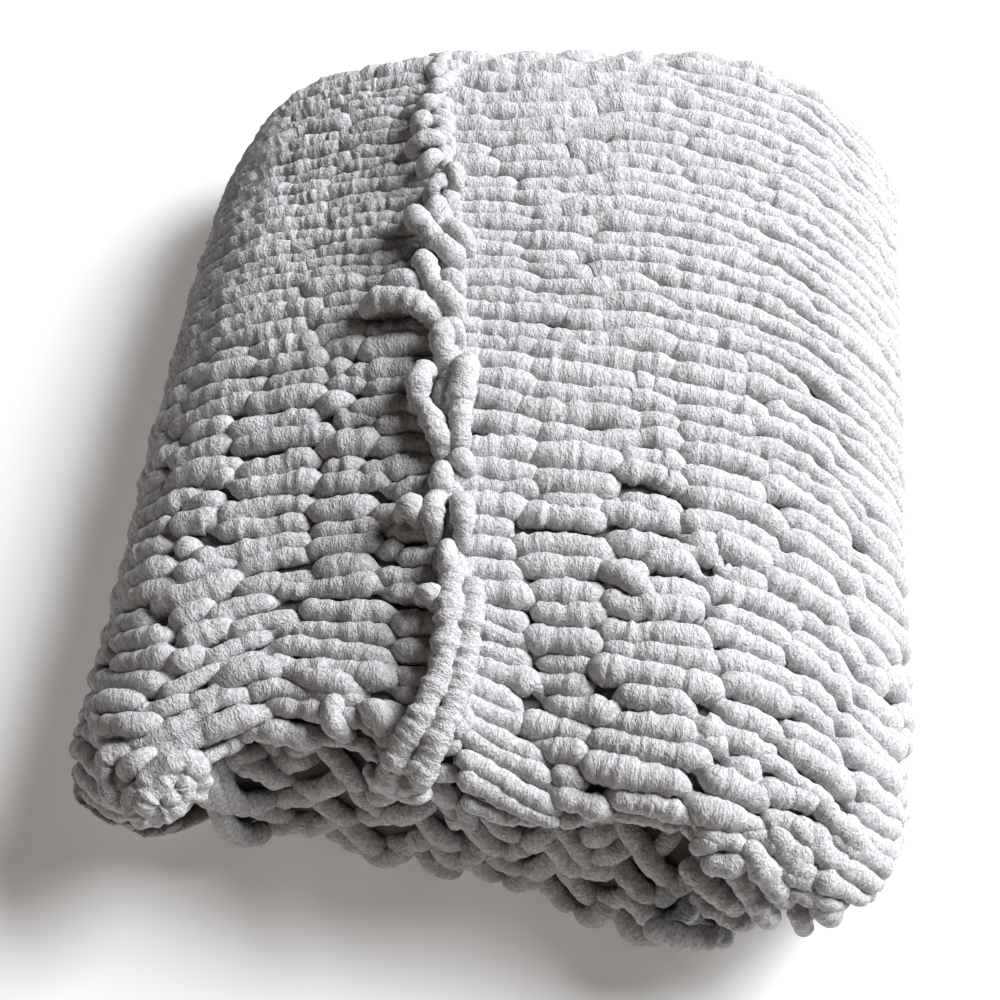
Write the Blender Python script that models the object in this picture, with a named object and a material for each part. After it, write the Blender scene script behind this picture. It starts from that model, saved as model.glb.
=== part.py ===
"""Chunky knit blanket, folded, lying on its flat underside.

The blanket is one piece of thick knitting. It is folded in half along its
length, with the fold at the back, and then both sides are folded in to meet at
a seam on top. That gives four layers: an outer and an inner layer above, and an
inner and an outer layer below. At the front the outer layer turns down a little
and the inner layer hangs to the floor under it.

The solid is a loft. Its section is the half fold, a U of two layers, and the
section travels along the gate fold, a C that runs from one selvedge at the seam
round the left side, underneath, round the right side and back to the seam.

World frame, in metres: +X right, +Y to the back fold, +Z up, floor at z = 0.
"""

import bpy
import bmesh
import numpy as np

# Cloth
LAYER_THICK = 0.034         # thickness of the knitted cloth
LAYER_GAP = 0.006           # gap between the two layers of the half fold
STACK_GAP = 0.008           # gap between the upper and the lower half
LAYER_STEP = LAYER_THICK + LAYER_GAP
STACK_THICK = 2 * LAYER_THICK + LAYER_GAP

# Folded bundle, before it is crowned
BUNDLE_WIDTH = 0.610
BUNDLE_HEIGHT = 0.185       # height of the crown along the seam
FLAT_HEIGHT = 2 * STACK_THICK + STACK_GAP
SEAM_X = -0.054
SEAM_HALF_GAP = 0.003
BACK_FOLD_Y = 0.334         # centre of the half fold's bend
FRONT_BEND_Y = -0.258       # where the layers above start to turn down
INNER_BEND_RADIUS = 0.030
OUTER_BEND_RADIUS = INNER_BEND_RADIUS + LAYER_STEP
HALF_WIDTH = BUNDLE_WIDTH / 2
HALF_DEPTH = BACK_FOLD_Y + STACK_THICK / 2

# Gate fold: the middle line of the stack
GATE_RADIUS = (STACK_THICK + STACK_GAP) / 2
SIDE_X = HALF_WIDTH - STACK_THICK - STACK_GAP / 2
TOP_Z = 1.5 * STACK_THICK + STACK_GAP
BOTTOM_Z = 0.5 * STACK_THICK
SIDE_ARC = np.pi * (GATE_RADIUS + LAYER_STEP / 2)

# Front edge, one row for each place along the gate fold.
# stretch, share: the stretch of the gate fold and how far along it the place is
# outer_turn, inner_turn: radians that each layer turns down past the bend
# outer_reach: metres that the outer layer runs on before it bends
# hang: straight length of the inner layer below its bend
FRONT_COLUMNS = ("place", "stretch", "share", "outer_turn", "outer_reach", "inner_turn", "hang")
FRONT_ROWS = (
    ("seam_left", 0, 0.00, 0.50, -0.008, 1.22, 0.070),
    ("flap_left", 0, 0.45, 0.42, -0.018, 1.22, 0.069),
    ("wing_left", 0, 0.76, 0.42, -0.014, 1.15, 0.062),
    ("shoulder_left", 0, 1.00, 0.45, -0.008, 0.50, 0.000),
    ("side_left", 1, 0.50, 0.55, 0.000, 0.50, 0.000),
    ("under_left", 2, 0.00, 0.00, 0.000, 0.00, 0.000),
    ("under_right", 2, 1.00, 0.00, 0.000, 0.00, 0.000),
    ("side_right", 3, 0.50, 0.50, 0.000, 0.50, 0.000),
    ("shoulder_right", 4, 0.00, 0.55, 0.012, 0.50, 0.000),
    ("wing_right", 4, 0.20, 0.50, 0.000, 1.05, 0.066),
    ("flap_right", 4, 0.50, 0.45, -0.014, 1.05, 0.075),
    ("seam_right", 4, 1.00, 0.50, 0.010, 1.20, 0.070),
)

# Crown: how far the height falls from the seam to each edge, and how sharply
CROWN_LEFT = 0.38
CROWN_LEFT_POWER = 1.35
CROWN_RIGHT = 0.35
CROWN_RIGHT_POWER = 2.4
CROWN_BACK = 0.14
CROWN_BACK_POWER = 3.0
CROWN_FRONT = 0.15
CROWN_FRONT_POWER = 3.0

# Uneven filling, one row for each swell or hollow of the bundle.
# x, y: its middle; swell: share of the height gained or lost; reach_x, reach_y: its size
SWELL_COLUMNS = ("place", "x", "y", "swell", "reach_x", "reach_y")
SWELL_ROWS = (
    ("hollow_beside_tail", 0.005, -0.250, -0.100, 0.055, 0.090),
    ("swell_front_right", 0.130, -0.190, 0.060, 0.080, 0.080),
    ("hollow_mid_left", -0.165, -0.110, -0.045, 0.050, 0.080),
    ("nose_front_left", -0.245, -0.220, 0.110, 0.060, 0.080),
    ("swell_back_right", 0.130, 0.170, 0.040, 0.110, 0.100),
    ("hollow_back_left", -0.150, 0.200, -0.040, 0.060, 0.080),
)

# Plan: rounded corners and the lean of the bundle
CORNER_BACK = 0.130
CORNER_FRONT_LEFT = 0.150
CORNER_FRONT_RIGHT = 0.200
END_POWER = 4
TOP_SET_BACK = 0.020        # share of the half depth that the top is drawn in at the back
NARROWING = 0.037           # share of the width lost from the middle to the back
SKEW = 0.140                # sideways run of both sides for each metre to the back
FRONT_LEAN_RIGHT = 0.040    # the right front runs forward
FRONT_SHORT_LEFT = 0.055    # the left front stops short
NOSE_LEFT = 0.074           # the left front corner runs on past it
SIDE_DROP_RIGHT = 0.035     # rows on the right side run forward as they go down
FAN_DEPTH = 0.045           # rows beside the seam are held back and fan out
FAN_LENGTH = 0.070
BULGE_DEPTH = 0.036         # the lower layers swell forward right of the seam
BULGE_X = 0.105
BULGE_REACH = 0.105

# Raised selvedges along the seam
RIDGE_HEIGHT = 0.010
RIDGE_WIDTH = 0.016

# Grid
STEPS_GATE = (("top_left", 9), ("side_left", 9), ("under", 7), ("side_right", 9), ("top_right", 12))
STEPS_BEND = 4
STEPS_RUN_OUTER = 14
STEPS_RUN_INNER = 9
STEPS_BACK_FOLD = 6
STEPS_HANG = 2

CLOTH_COLOUR = (0.62, 0.62, 0.63, 1.0)


def smooth(low, high, value):
    """Smooth step from 0 at low to 1 at high."""
    t = np.clip((value - low) / (high - low), 0.0, 1.0)
    return t * t * (3.0 - 2.0 * t)


def gate_lengths():
    """Station at the end of each stretch of the gate fold, along the outer layer."""
    stretches = (0.0, SEAM_X + SIDE_X, SIDE_ARC, 2 * SIDE_X, SIDE_ARC, SIDE_X - SEAM_X)
    return np.cumsum(stretches)


def gate_line(station):
    """Middle line of the stack: x, z and the outward normal nx, nz at each station."""
    ends = gate_lengths()
    centre_z = (TOP_Z + BOTTOM_Z) / 2
    left = np.pi / 2 + np.pi * np.clip((station - ends[1]) / SIDE_ARC, 0.0, 1.0)
    right = -np.pi / 2 + np.pi * np.clip((station - ends[3]) / SIDE_ARC, 0.0, 1.0)
    angle = np.where(station <= (ends[2] + ends[3]) / 2, left, right)
    x_run = np.clip(ends[1] - station, 0.0, None) * (station < ends[1])
    x_under = np.clip(station - ends[2], 0.0, 2 * SIDE_X)
    x_last = np.clip(station - ends[4], 0.0, None)
    x_centre = -SIDE_X + x_run + x_under - x_last
    nx = np.cos(angle)
    nz = np.sin(angle)
    flat = (station <= ends[1]) | (station >= ends[4])
    nx = np.where(flat, 0.0, nx)
    nz = np.where(flat, 1.0, nz)
    under = (station >= ends[2]) & (station <= ends[3])
    nx = np.where(under, 0.0, nx)
    nz = np.where(under, -1.0, nz)
    return x_centre + GATE_RADIUS * nx, centre_z + GATE_RADIUS * nz, nx, nz


def front_shape(station):
    """The columns of FRONT_ROWS at each station, eased from row to row."""
    ends = gate_lengths()
    places = np.array([ends[row[1]] + row[2] * (ends[row[1] + 1] - ends[row[1]]) for row in FRONT_ROWS])
    table = np.array([row[3:] for row in FRONT_ROWS])
    index = np.clip(np.searchsorted(places, station, side="right") - 1, 0, len(places) - 2)
    share = smooth(0.0, 1.0, (station - places[index]) / (places[index + 1] - places[index]))
    values = table[index] + (table[index + 1] - table[index]) * share[..., None]
    return [values[..., column] for column in range(len(FRONT_COLUMNS) - 3)]


def bend_and_run(share, turn, reach, radius, hang, level, run_end):
    """One layer from its front tip to run_end: y, m and normal, for the share rows.

    share holds (part, fraction) pairs: part 0 is the hang, 1 the bend, 2 the run.
    """
    part, fraction = share
    bend_y = FRONT_BEND_Y - reach
    bend_m = LAYER_STEP / 2 - OUTER_BEND_RADIUS
    angle = np.where(part == 1, turn * (1.0 - fraction), np.where(part == 0, turn, 0.0))
    y = bend_y - radius * np.sin(angle)
    m = np.where(part == 2, level, bend_m + radius * np.cos(angle))
    below = np.where(part == 0, hang * (1.0 - fraction), 0.0)
    y = y - below * np.cos(turn)
    m = m - below * np.sin(turn)
    y = np.where(part == 2, bend_y + (run_end - bend_y) * fraction, y)
    return y, m, -np.sin(angle), np.cos(angle)


def part_shares(steps):
    """(part, fraction) pairs for a list of (part, steps), shared ends given once."""
    parts = []
    fractions = []
    for part, count in steps:
        parts.extend([part] * count)
        fractions.extend(np.arange(count) / count)
    return np.array(parts + [2.0]), np.array(fractions + [1.0])


def section_line(station):
    """Middle line of the U section at each station: y, m and normal, tip to tip."""
    outer_turn, outer_reach, inner_turn, hang = front_shape(station)
    half = LAYER_STEP / 2
    outer = bend_and_run(part_shares(((1, STEPS_BEND), (2, STEPS_RUN_OUTER))), outer_turn,
                         outer_reach, OUTER_BEND_RADIUS, 0.0, half, BACK_FOLD_Y)
    inner = bend_and_run(part_shares(((0, STEPS_HANG), (1, STEPS_BEND), (2, STEPS_RUN_INNER))),
                         inner_turn, 0.0, INNER_BEND_RADIUS, hang, -half, BACK_FOLD_Y)
    fold = np.linspace(0.0, np.pi, STEPS_BACK_FOLD + 1)[1:-1] + 0.0 * station
    bend = (BACK_FOLD_Y + half * np.sin(fold), half * np.cos(fold), np.sin(fold), np.cos(fold))
    back = [column[:, ::-1] for column in inner]
    line = [np.concatenate(columns, axis=1) for columns in zip(outer, bend, back)]
    flip = np.ones(line[0].shape[1])
    flip[-inner[0].shape[1]:] = -1.0
    return line[0], line[1], line[2] * flip, line[3] * flip


def crown(x, y):
    """Height factor over the plan, highest along the seam."""
    left = np.clip((SEAM_X - x) / (SEAM_X + HALF_WIDTH), 0.0, 1.2)
    right = np.clip((x - SEAM_X) / (HALF_WIDTH - SEAM_X), 0.0, 1.2)
    across = 1.0 - CROWN_LEFT * left ** CROWN_LEFT_POWER - CROWN_RIGHT * right ** CROWN_RIGHT_POWER
    back = CROWN_BACK * np.clip(y / HALF_DEPTH, 0.0, 2.0) ** CROWN_BACK_POWER
    front = CROWN_FRONT * np.clip(-y / HALF_DEPTH, 0.0, 2.0) ** CROWN_FRONT_POWER
    swell = 1.0
    for row in SWELL_ROWS:
        spot = dict(zip(SWELL_COLUMNS, row))
        away = ((x - spot["x"]) / spot["reach_x"]) ** 2 + ((y - spot["y"]) / spot["reach_y"]) ** 2
        swell = swell + spot["swell"] * np.exp(-away)
    return BUNDLE_HEIGHT / FLAT_HEIGHT * across * (1.0 - back - front) * swell


def corner(x, radius):
    """How far a rounded corner draws the end in, at x."""
    reach = np.clip((np.abs(x) - (HALF_WIDTH - radius)) / radius, 0.0, 1.0)
    return radius * (1.0 - np.sqrt(1.0 - 0.97 * reach ** 2))


def settle(x, y, z):
    """Take the square-cornered flat bundle to the crowned, leaning one as it lies."""
    along = y / HALF_DEPTH
    level = z / FLAT_HEIGHT
    left = np.clip((SEAM_X - x) / (SEAM_X + HALF_WIDTH), 0.0, 1.2)
    right = np.clip((x - SEAM_X) / (HALF_WIDTH - SEAM_X), 0.0, 1.2)
    end_back = np.clip(along, 0.0, 1.3) ** END_POWER
    end_front = np.clip(-along, 0.0, 1.3) ** END_POWER
    to_front = smooth(0.10, 0.95, -along)
    front_radius = np.where(x < 0.0, CORNER_FRONT_LEFT, CORNER_FRONT_RIGHT)
    move = corner(x, front_radius) * end_front - corner(x, CORNER_BACK) * end_back
    move = move - TOP_SET_BACK * HALF_DEPTH * end_back * np.clip((level - 0.35) / 0.65, 0.0, 1.0) ** 2
    move = move - FRONT_LEAN_RIGHT * to_front * smooth(0.0, 1.0, right)
    move = move + FRONT_SHORT_LEFT * to_front * smooth(0.0, 0.75, left)
    nose = smooth(0.42, 0.78, left) * (1.0 - 0.65 * smooth(0.78, 1.02, left))
    move = move - NOSE_LEFT * to_front * nose
    move = move - SIDE_DROP_RIGHT * smooth(0.55, 1.0, right)
    bulge = np.exp(-((x - BULGE_X) / BULGE_REACH) ** 2) * (1.0 - smooth(0.45, 0.85, level))
    move = move - BULGE_DEPTH * to_front * bulge
    past_seam = np.clip(x - SEAM_X, 0.0, None)
    fan = FAN_DEPTH * smooth(0.45, 0.85, level) * to_front * (1.0 - np.exp(-past_seam / FAN_LENGTH))
    side = smooth(0.0, 1.0, np.maximum(left, right))
    return x * (1.0 - NARROWING * along) + SKEW * y * side, y + move - fan, z * crown(x, y)


def gate_stations():
    """Stations of the loft's sections, a few for each stretch of the gate fold."""
    ends = gate_lengths()
    ends[0] += SEAM_HALF_GAP
    ends[-1] -= SEAM_HALF_GAP
    runs = [np.linspace(ends[i], ends[i + 1], count, endpoint=False)
            for i, (_, count) in enumerate(STEPS_GATE)]
    return np.concatenate(runs + [ends[-1:]])


def ridge(station, outer_share):
    """Extra thickness of the outer layer beside the seam."""
    last = gate_lengths()[-1]
    from_seam = np.minimum(station, last - station)
    return RIDGE_HEIGHT * np.exp(-(from_seam / RIDGE_WIDTH) ** 2) * outer_share


def blanket_faces():
    """Both faces of the cloth as two grids of points, stations by section points."""
    station = gate_stations()[:, None]
    x, z, nx, nz = gate_line(station)
    y, m, ny, nm = section_line(station)
    outer_share = smooth(0.0, LAYER_STEP / 2, m) * (nm > 0)
    out = LAYER_THICK / 2 + ridge(station, outer_share)
    grids = []
    for offset in (out, -LAYER_THICK / 2):
        level = m + offset * nm
        points = settle(x + level * nx, y + offset * ny, z + level * nz)
        grids.append(np.stack(points, axis=-1))
    return grids


def add_blanket(collection, material):
    """The folded blanket: two faces, two selvedges and two end edges, closed."""
    outside, inside = blanket_faces()
    low = np.minimum(outside, inside).min(axis=(0, 1))
    high = np.maximum(outside, inside).max(axis=(0, 1))
    origin = np.array(((low[0] + high[0]) / 2, (low[1] + high[1]) / 2, 0.0))
    rows, columns = outside.shape[:2]
    mesh_data = bmesh.new()
    layers = [[[mesh_data.verts.new(point - origin) for point in row] for row in grid]
              for grid in (outside, inside)]
    top, under = layers
    for i in range(rows - 1):
        for j in range(columns - 1):
            mesh_data.faces.new((top[i][j], top[i][j + 1], top[i + 1][j + 1], top[i + 1][j]))
            mesh_data.faces.new((under[i][j], under[i + 1][j], under[i + 1][j + 1], under[i][j + 1]))
    for i in range(rows - 1):
        for j in (0, columns - 1):
            mesh_data.faces.new((top[i][j], top[i + 1][j], under[i + 1][j], under[i][j]))
    for j in range(columns - 1):
        for i in (0, rows - 1):
            mesh_data.faces.new((top[i][j], top[i][j + 1], under[i][j + 1], under[i][j]))
    bmesh.ops.recalc_face_normals(mesh_data, faces=mesh_data.faces)
    bmesh.ops.triangulate(mesh_data, faces=mesh_data.faces)
    mesh = bpy.data.meshes.new("blanket")
    mesh_data.to_mesh(mesh)
    mesh_data.free()
    mesh.shade_smooth()
    blanket = bpy.data.objects.new("blanket", mesh)
    blanket.data.materials.append(material)
    collection.objects.link(blanket)
    return blanket


def yarn_material():
    """Pale grey chenille: matt, no metal."""
    material = bpy.data.materials.new("chenille_yarn")
    material.use_nodes = True
    shader = material.node_tree.nodes["Principled BSDF"]
    shader.inputs["Base Color"].default_value = CLOTH_COLOUR
    shader.inputs["Roughness"].default_value = 0.95
    shader.inputs["Metallic"].default_value = 0.0
    return material


def main():
    """Clear the scene and build the blanket in its own collection."""
    for item in list(bpy.data.objects):
        bpy.data.objects.remove(item, do_unlink=True)
    collection = bpy.data.collections.new("chunky_knit_blanket")
    bpy.context.scene.collection.children.link(collection)
    add_blanket(collection, yarn_material())


main()
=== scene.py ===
"""Chunky knit blanket, folded: the finished look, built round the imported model.

The cloth is knitted by hand from jumbo chenille yarn. It is folded in half along
its length, with the fold at the back, and then both sides are folded in to a seam
on top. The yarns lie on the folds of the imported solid: a place on the cloth is given
by its station along the gate fold, its run from the half fold towards the front, and
its lift above the middle of the layer. Only the row ends at the front right corner
are placed in the world frame.

World frame, in metres: +X right, +Y to the back fold, +Z up, floor at z = 0.
"""

import logging
from dataclasses import dataclass
from enum import Enum

import bpy
import numpy as np
from mathutils import Matrix, Vector


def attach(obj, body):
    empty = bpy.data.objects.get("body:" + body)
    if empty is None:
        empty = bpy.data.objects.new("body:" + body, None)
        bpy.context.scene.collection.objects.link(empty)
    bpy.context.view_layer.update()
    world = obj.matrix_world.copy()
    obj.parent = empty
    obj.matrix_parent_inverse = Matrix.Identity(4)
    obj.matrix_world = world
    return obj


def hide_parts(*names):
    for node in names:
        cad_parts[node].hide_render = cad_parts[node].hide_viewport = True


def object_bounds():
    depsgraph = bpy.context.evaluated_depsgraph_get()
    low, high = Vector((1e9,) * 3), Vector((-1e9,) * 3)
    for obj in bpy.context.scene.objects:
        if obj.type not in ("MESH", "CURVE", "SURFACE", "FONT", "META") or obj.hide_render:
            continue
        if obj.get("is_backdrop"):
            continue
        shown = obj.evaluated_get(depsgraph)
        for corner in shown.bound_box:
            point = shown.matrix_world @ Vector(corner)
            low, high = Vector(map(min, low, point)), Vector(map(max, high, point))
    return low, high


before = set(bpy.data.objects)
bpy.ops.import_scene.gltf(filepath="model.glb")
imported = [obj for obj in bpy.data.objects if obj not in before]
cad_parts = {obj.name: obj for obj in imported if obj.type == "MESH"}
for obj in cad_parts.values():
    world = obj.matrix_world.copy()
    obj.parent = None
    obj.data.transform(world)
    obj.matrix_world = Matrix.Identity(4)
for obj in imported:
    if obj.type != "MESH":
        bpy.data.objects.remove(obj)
CAD_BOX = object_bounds()

LOG = logging.getLogger("blanket")
SEED = 4720
TINY = 1e-12
MM = 0.001
BODY = "root"
NODE = "blanket"


# ---------------------------------------------------------------- small helpers


def smooth(low: float, high: float, value: np.ndarray) -> np.ndarray:
    """Smooth step: 0 below low, 1 above high, 3t^2 - 2t^3 between."""
    t = np.clip((value - low) / (high - low), 0.0, 1.0)
    return t * t * (3.0 - 2.0 * t)


def unit(vectors: np.ndarray) -> np.ndarray:
    """Vectors of the last axis scaled to length 1."""
    return vectors / np.maximum(np.linalg.norm(vectors, axis=-1, keepdims=True), TINY)


def linear(code: str) -> tuple[float, float, float, float]:
    """Turn an sRGB hex colour to linear light.

    Args:
        code: the colour, such as "#D2D2D4".

    Returns:
        Red, green, blue and an alpha of 1.
    """
    srgb = np.array([int(code[i:i + 2], 16) for i in (1, 3, 5)]) / 255.0
    value = np.where(srgb <= 0.04045, srgb / 12.92, ((srgb + 0.055) / 1.055) ** 2.4)
    return (float(value[0]), float(value[1]), float(value[2]), 1.0)


def stretches(shown: np.ndarray, least: int) -> list[slice]:
    """Find the unbroken stretches of True.

    Args:
        shown: True or False at each sample.
        least: how many samples a stretch has at least.

    Returns:
        One slice a stretch.
    """
    edges = np.flatnonzero(np.diff(np.concatenate([[False], shown, [False]]).astype(int)))
    pairs = edges.reshape(-1, 2)
    return [slice(low, high) for low, high in pairs if high - low >= least]


def stepped(values: np.ndarray, over: np.ndarray) -> np.ndarray:
    """Carry one value a stitch along its row, eased over at each joint.

    Args:
        values: rows by stitches.
        over: how far each joint is passed, rows by stations by joints.

    Returns:
        Values, rows by stations.
    """
    return values[:, :1] + (over * np.diff(values, axis=1)[:, None, :]).sum(axis=2)


def arch(share: np.ndarray) -> np.ndarray:
    """The arch 4t(1 - t): 0 at both ends, 1 in the middle."""
    return 4 * share * (1 - share)


# ---------------------------------------------------------------- the folds


class Layer(Enum):
    """The two layers of the half fold that yarn is laid on."""

    OUTER = "outer"
    INNER = "inner"


class Stretch(Enum):
    """The straight and round stretches of the gate fold, from the left selvedge."""

    TOP_LEFT = 0
    SIDE_LEFT = 1
    UNDER = 2
    SIDE_RIGHT = 3
    TOP_RIGHT = 4


@dataclass(frozen=True)
class FrontEdge:
    """How the two layers end at the front, at one place along the gate fold."""

    stretch: Stretch
    share: float            # how far along the stretch
    outer_turn: float       # radians that the outer layer turns down past its bend
    outer_reach: float      # how far it runs on before it bends
    inner_turn: float       # radians that the inner layer turns down
    hang: float             # straight length of the inner layer below its bend


@dataclass(frozen=True)
class Swell:
    """One swell or hollow of the bundle: a bell in plan."""

    x: float
    y: float
    share: float            # share of the height gained or lost
    reach_x: float
    reach_y: float


FRONT_EDGES = (
    FrontEdge(Stretch.TOP_LEFT, 0.00, 0.50, -0.008, 1.22, 0.070),
    FrontEdge(Stretch.TOP_LEFT, 0.45, 0.42, -0.018, 1.22, 0.069),
    FrontEdge(Stretch.TOP_LEFT, 0.76, 0.42, -0.014, 1.15, 0.062),
    FrontEdge(Stretch.TOP_LEFT, 1.00, 0.45, -0.008, 0.50, 0.000),
    FrontEdge(Stretch.SIDE_LEFT, 0.50, 0.55, 0.000, 0.50, 0.000),
    FrontEdge(Stretch.UNDER, 0.00, 0.00, 0.000, 0.00, 0.000),
    FrontEdge(Stretch.UNDER, 1.00, 0.00, 0.000, 0.00, 0.000),
    FrontEdge(Stretch.SIDE_RIGHT, 0.50, 0.50, 0.000, 0.50, 0.000),
    FrontEdge(Stretch.TOP_RIGHT, 0.00, 0.55, 0.012, 0.50, 0.000),
    FrontEdge(Stretch.TOP_RIGHT, 0.20, 0.50, 0.000, 1.05, 0.066),
    FrontEdge(Stretch.TOP_RIGHT, 0.50, 0.45, -0.014, 1.05, 0.075),
    FrontEdge(Stretch.TOP_RIGHT, 1.00, 0.50, 0.010, 1.20, 0.070),
)

SWELLS = (
    Swell(0.005, -0.250, -0.100, 0.055, 0.090),
    Swell(0.130, -0.190, 0.060, 0.080, 0.080),
    Swell(-0.165, -0.110, -0.045, 0.050, 0.080),
    Swell(-0.245, -0.220, 0.110, 0.060, 0.080),
    Swell(0.130, 0.170, 0.040, 0.110, 0.100),
    Swell(-0.150, 0.200, -0.040, 0.060, 0.080),
)


@dataclass(frozen=True)
class Fold:
    """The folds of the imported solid, as a map from places on the cloth to points.

    The sizes are those that the solid was made from, so a yarn laid on this map
    lies on the solid's face.
    """

    layer_thick: float = 0.034
    layer_gap: float = 0.006
    stack_gap: float = 0.008
    width: float = 0.610
    height: float = 0.185
    seam_x: float = -0.054
    back_y: float = 0.334
    bend_y: float = -0.258
    inner_radius: float = 0.030
    crown_left: tuple[float, float] = (0.38, 1.35)
    crown_right: tuple[float, float] = (0.35, 2.4)
    crown_back: float = 0.14
    crown_front: float = 0.15
    crown_end_power: float = 3.0
    corner_back: float = 0.130
    corner_front_left: float = 0.150
    corner_front_right: float = 0.200
    corner_round: float = 0.97          # 1 would end the corner square to the side
    end_power: float = 4.0
    top_set_back: float = 0.020
    top_from: float = 0.35              # level above which the back sets back
    narrowing: float = 0.037
    skew: float = 0.140
    front_span: tuple[float, float] = (0.10, 0.95)      # shares of the half depth
    low_span: tuple[float, float] = (0.45, 0.85)        # levels, as shares of the height
    lean_right: float = 0.040
    short_left: float = 0.055
    short_span: tuple[float, float] = (0.0, 0.75)       # shares from the seam to the side
    nose_left: float = 0.074
    nose_span: tuple[float, float] = (0.42, 0.78)
    nose_fade: tuple[float, float] = (0.78, 1.02)
    nose_loss: float = 0.65
    side_drop: float = 0.035
    side_span: tuple[float, float] = (0.55, 1.0)
    fan_depth: float = 0.045
    fan_length: float = 0.070
    bulge: tuple[float, float, float] = (0.036, 0.105, 0.105)
    plan_middle: tuple[float, float] = (-0.0042396, -0.0091137)
    most_aside: float = 1.2             # the shares run on a little past the sides
    most_along: float = 1.3             # and past the ends
    least_roll: float = 0.004           # least radius of the roll round an edge
    probe: float = 0.002                # how far out a second point is laid for the normal

    @property
    def step(self) -> float:
        """From one layer's middle to the next."""
        return self.layer_thick + self.layer_gap

    @property
    def stack(self) -> float:
        """Thickness of the two layers of the half fold."""
        return 2 * self.layer_thick + self.layer_gap

    @property
    def flat_height(self) -> float:
        """Height of the bundle before it is crowned."""
        return 2 * self.stack + self.stack_gap

    @property
    def gate_radius(self) -> float:
        """Radius of the gate fold at the middle of the stack."""
        return (self.stack + self.stack_gap) / 2

    @property
    def side_x(self) -> float:
        """Where the gate fold's arcs begin."""
        return self.width / 2 - self.stack - self.stack_gap / 2

    @property
    def outer_radius(self) -> float:
        """Radius of the outer layer's bend at the front."""
        return self.inner_radius + self.step

    @property
    def half_depth(self) -> float:
        """Half the depth of the square bundle."""
        return self.back_y + self.stack / 2

    def ends(self) -> np.ndarray:
        """Where the stretches of the gate fold end.

        Returns:
            Stations: 0, then the ends of top left, side, under, side and top right.
        """
        arc = np.pi * (self.gate_radius + self.step / 2)
        top_left = self.seam_x + self.side_x
        top_right = self.side_x - self.seam_x
        return np.cumsum((0.0, top_left, arc, 2 * self.side_x, arc, top_right))

    def gate(self, station: np.ndarray) -> tuple[np.ndarray, ...]:
        """The gate fold: two straight runs on top, two half circles, one run underneath.

        Args:
            station: distance along the fold from the left selvedge.

        Returns:
            x, z of the stack's middle and the outward normal nx, nz.
        """
        ends = self.ends()
        arc = ends[2] - ends[1]
        left = np.pi / 2 + np.pi * np.clip((station - ends[1]) / arc, 0.0, 1.0)
        right = -np.pi / 2 + np.pi * np.clip((station - ends[3]) / arc, 0.0, 1.0)
        angle = np.where(station <= (ends[2] + ends[3]) / 2, left, right)
        x_run = np.clip(ends[1] - station, 0.0, None)
        x_under = np.clip(station - ends[2], 0.0, 2 * self.side_x)
        x_last = np.clip(station - ends[4], 0.0, None)
        nx = np.cos(angle)
        nz = np.sin(angle)
        centre_z = self.stack + self.stack_gap / 2
        x = -self.side_x + x_run + x_under - x_last + self.gate_radius * nx
        return x, centre_z + self.gate_radius * nz, nx, nz

    def front(self, station: np.ndarray) -> list[np.ndarray]:
        """The sizes of FRONT_EDGES, eased from place to place along the gate fold.

        Args:
            station: distance along the gate fold.

        Returns:
            Outer turn, outer reach, inner turn and hang at each station.
        """
        ends = self.ends()
        low = np.array([ends[edge.stretch.value] for edge in FRONT_EDGES])
        high = np.array([ends[edge.stretch.value + 1] for edge in FRONT_EDGES])
        places = low + np.array([edge.share for edge in FRONT_EDGES]) * (high - low)
        table = np.array([(e.outer_turn, e.outer_reach, e.inner_turn, e.hang) for e in FRONT_EDGES])
        index = np.clip(np.searchsorted(places, station, side="right") - 1, 0, len(places) - 2)
        share = smooth(0.0, 1.0, (station - places[index]) / (places[index + 1] - places[index]))
        values = table[index] + (table[index + 1] - table[index]) * share[..., None]
        return [values[..., column] for column in range(table.shape[1])]

    def aside(self, x: np.ndarray) -> tuple[np.ndarray, np.ndarray]:
        """How far a place lies from the seam towards either side.

        Args:
            x: the place across the square bundle.

        Returns:
            Shares of the way to the left side and to the right side, from 0 up.
        """
        left = (self.seam_x - x) / (self.seam_x + self.width / 2)
        right = (x - self.seam_x) / (self.width / 2 - self.seam_x)
        return np.clip(left, 0.0, self.most_aside), np.clip(right, 0.0, self.most_aside)

    def crown(self, x: np.ndarray, y: np.ndarray) -> np.ndarray:
        """The crown over the plan: powers of the distance from the seam, times bells.

        Args:
            x, y: places of the square bundle.

        Returns:
            The factor on the height at each place.
        """
        left, right = self.aside(x)
        across = (1.0 - self.crown_left[0] * left ** self.crown_left[1]
                  - self.crown_right[0] * right ** self.crown_right[1])
        along = y / self.half_depth
        back = self.crown_back * np.clip(along, 0.0, None) ** self.crown_end_power
        front = self.crown_front * np.clip(-along, 0.0, None) ** self.crown_end_power
        swell = 1.0
        for spot in SWELLS:
            away = ((x - spot.x) / spot.reach_x) ** 2 + ((y - spot.y) / spot.reach_y) ** 2
            swell = swell + spot.share * np.exp(-away)
        return self.height / self.flat_height * across * (1.0 - back - front) * swell

    def corner(self, x: np.ndarray, radius: np.ndarray) -> np.ndarray:
        """How far a rounded corner draws the end in at x: a quarter circle."""
        reach = np.clip((np.abs(x) - (self.width / 2 - radius)) / radius, 0.0, 1.0)
        return radius * (1.0 - np.sqrt(1.0 - self.corner_round * reach ** 2))

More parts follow.
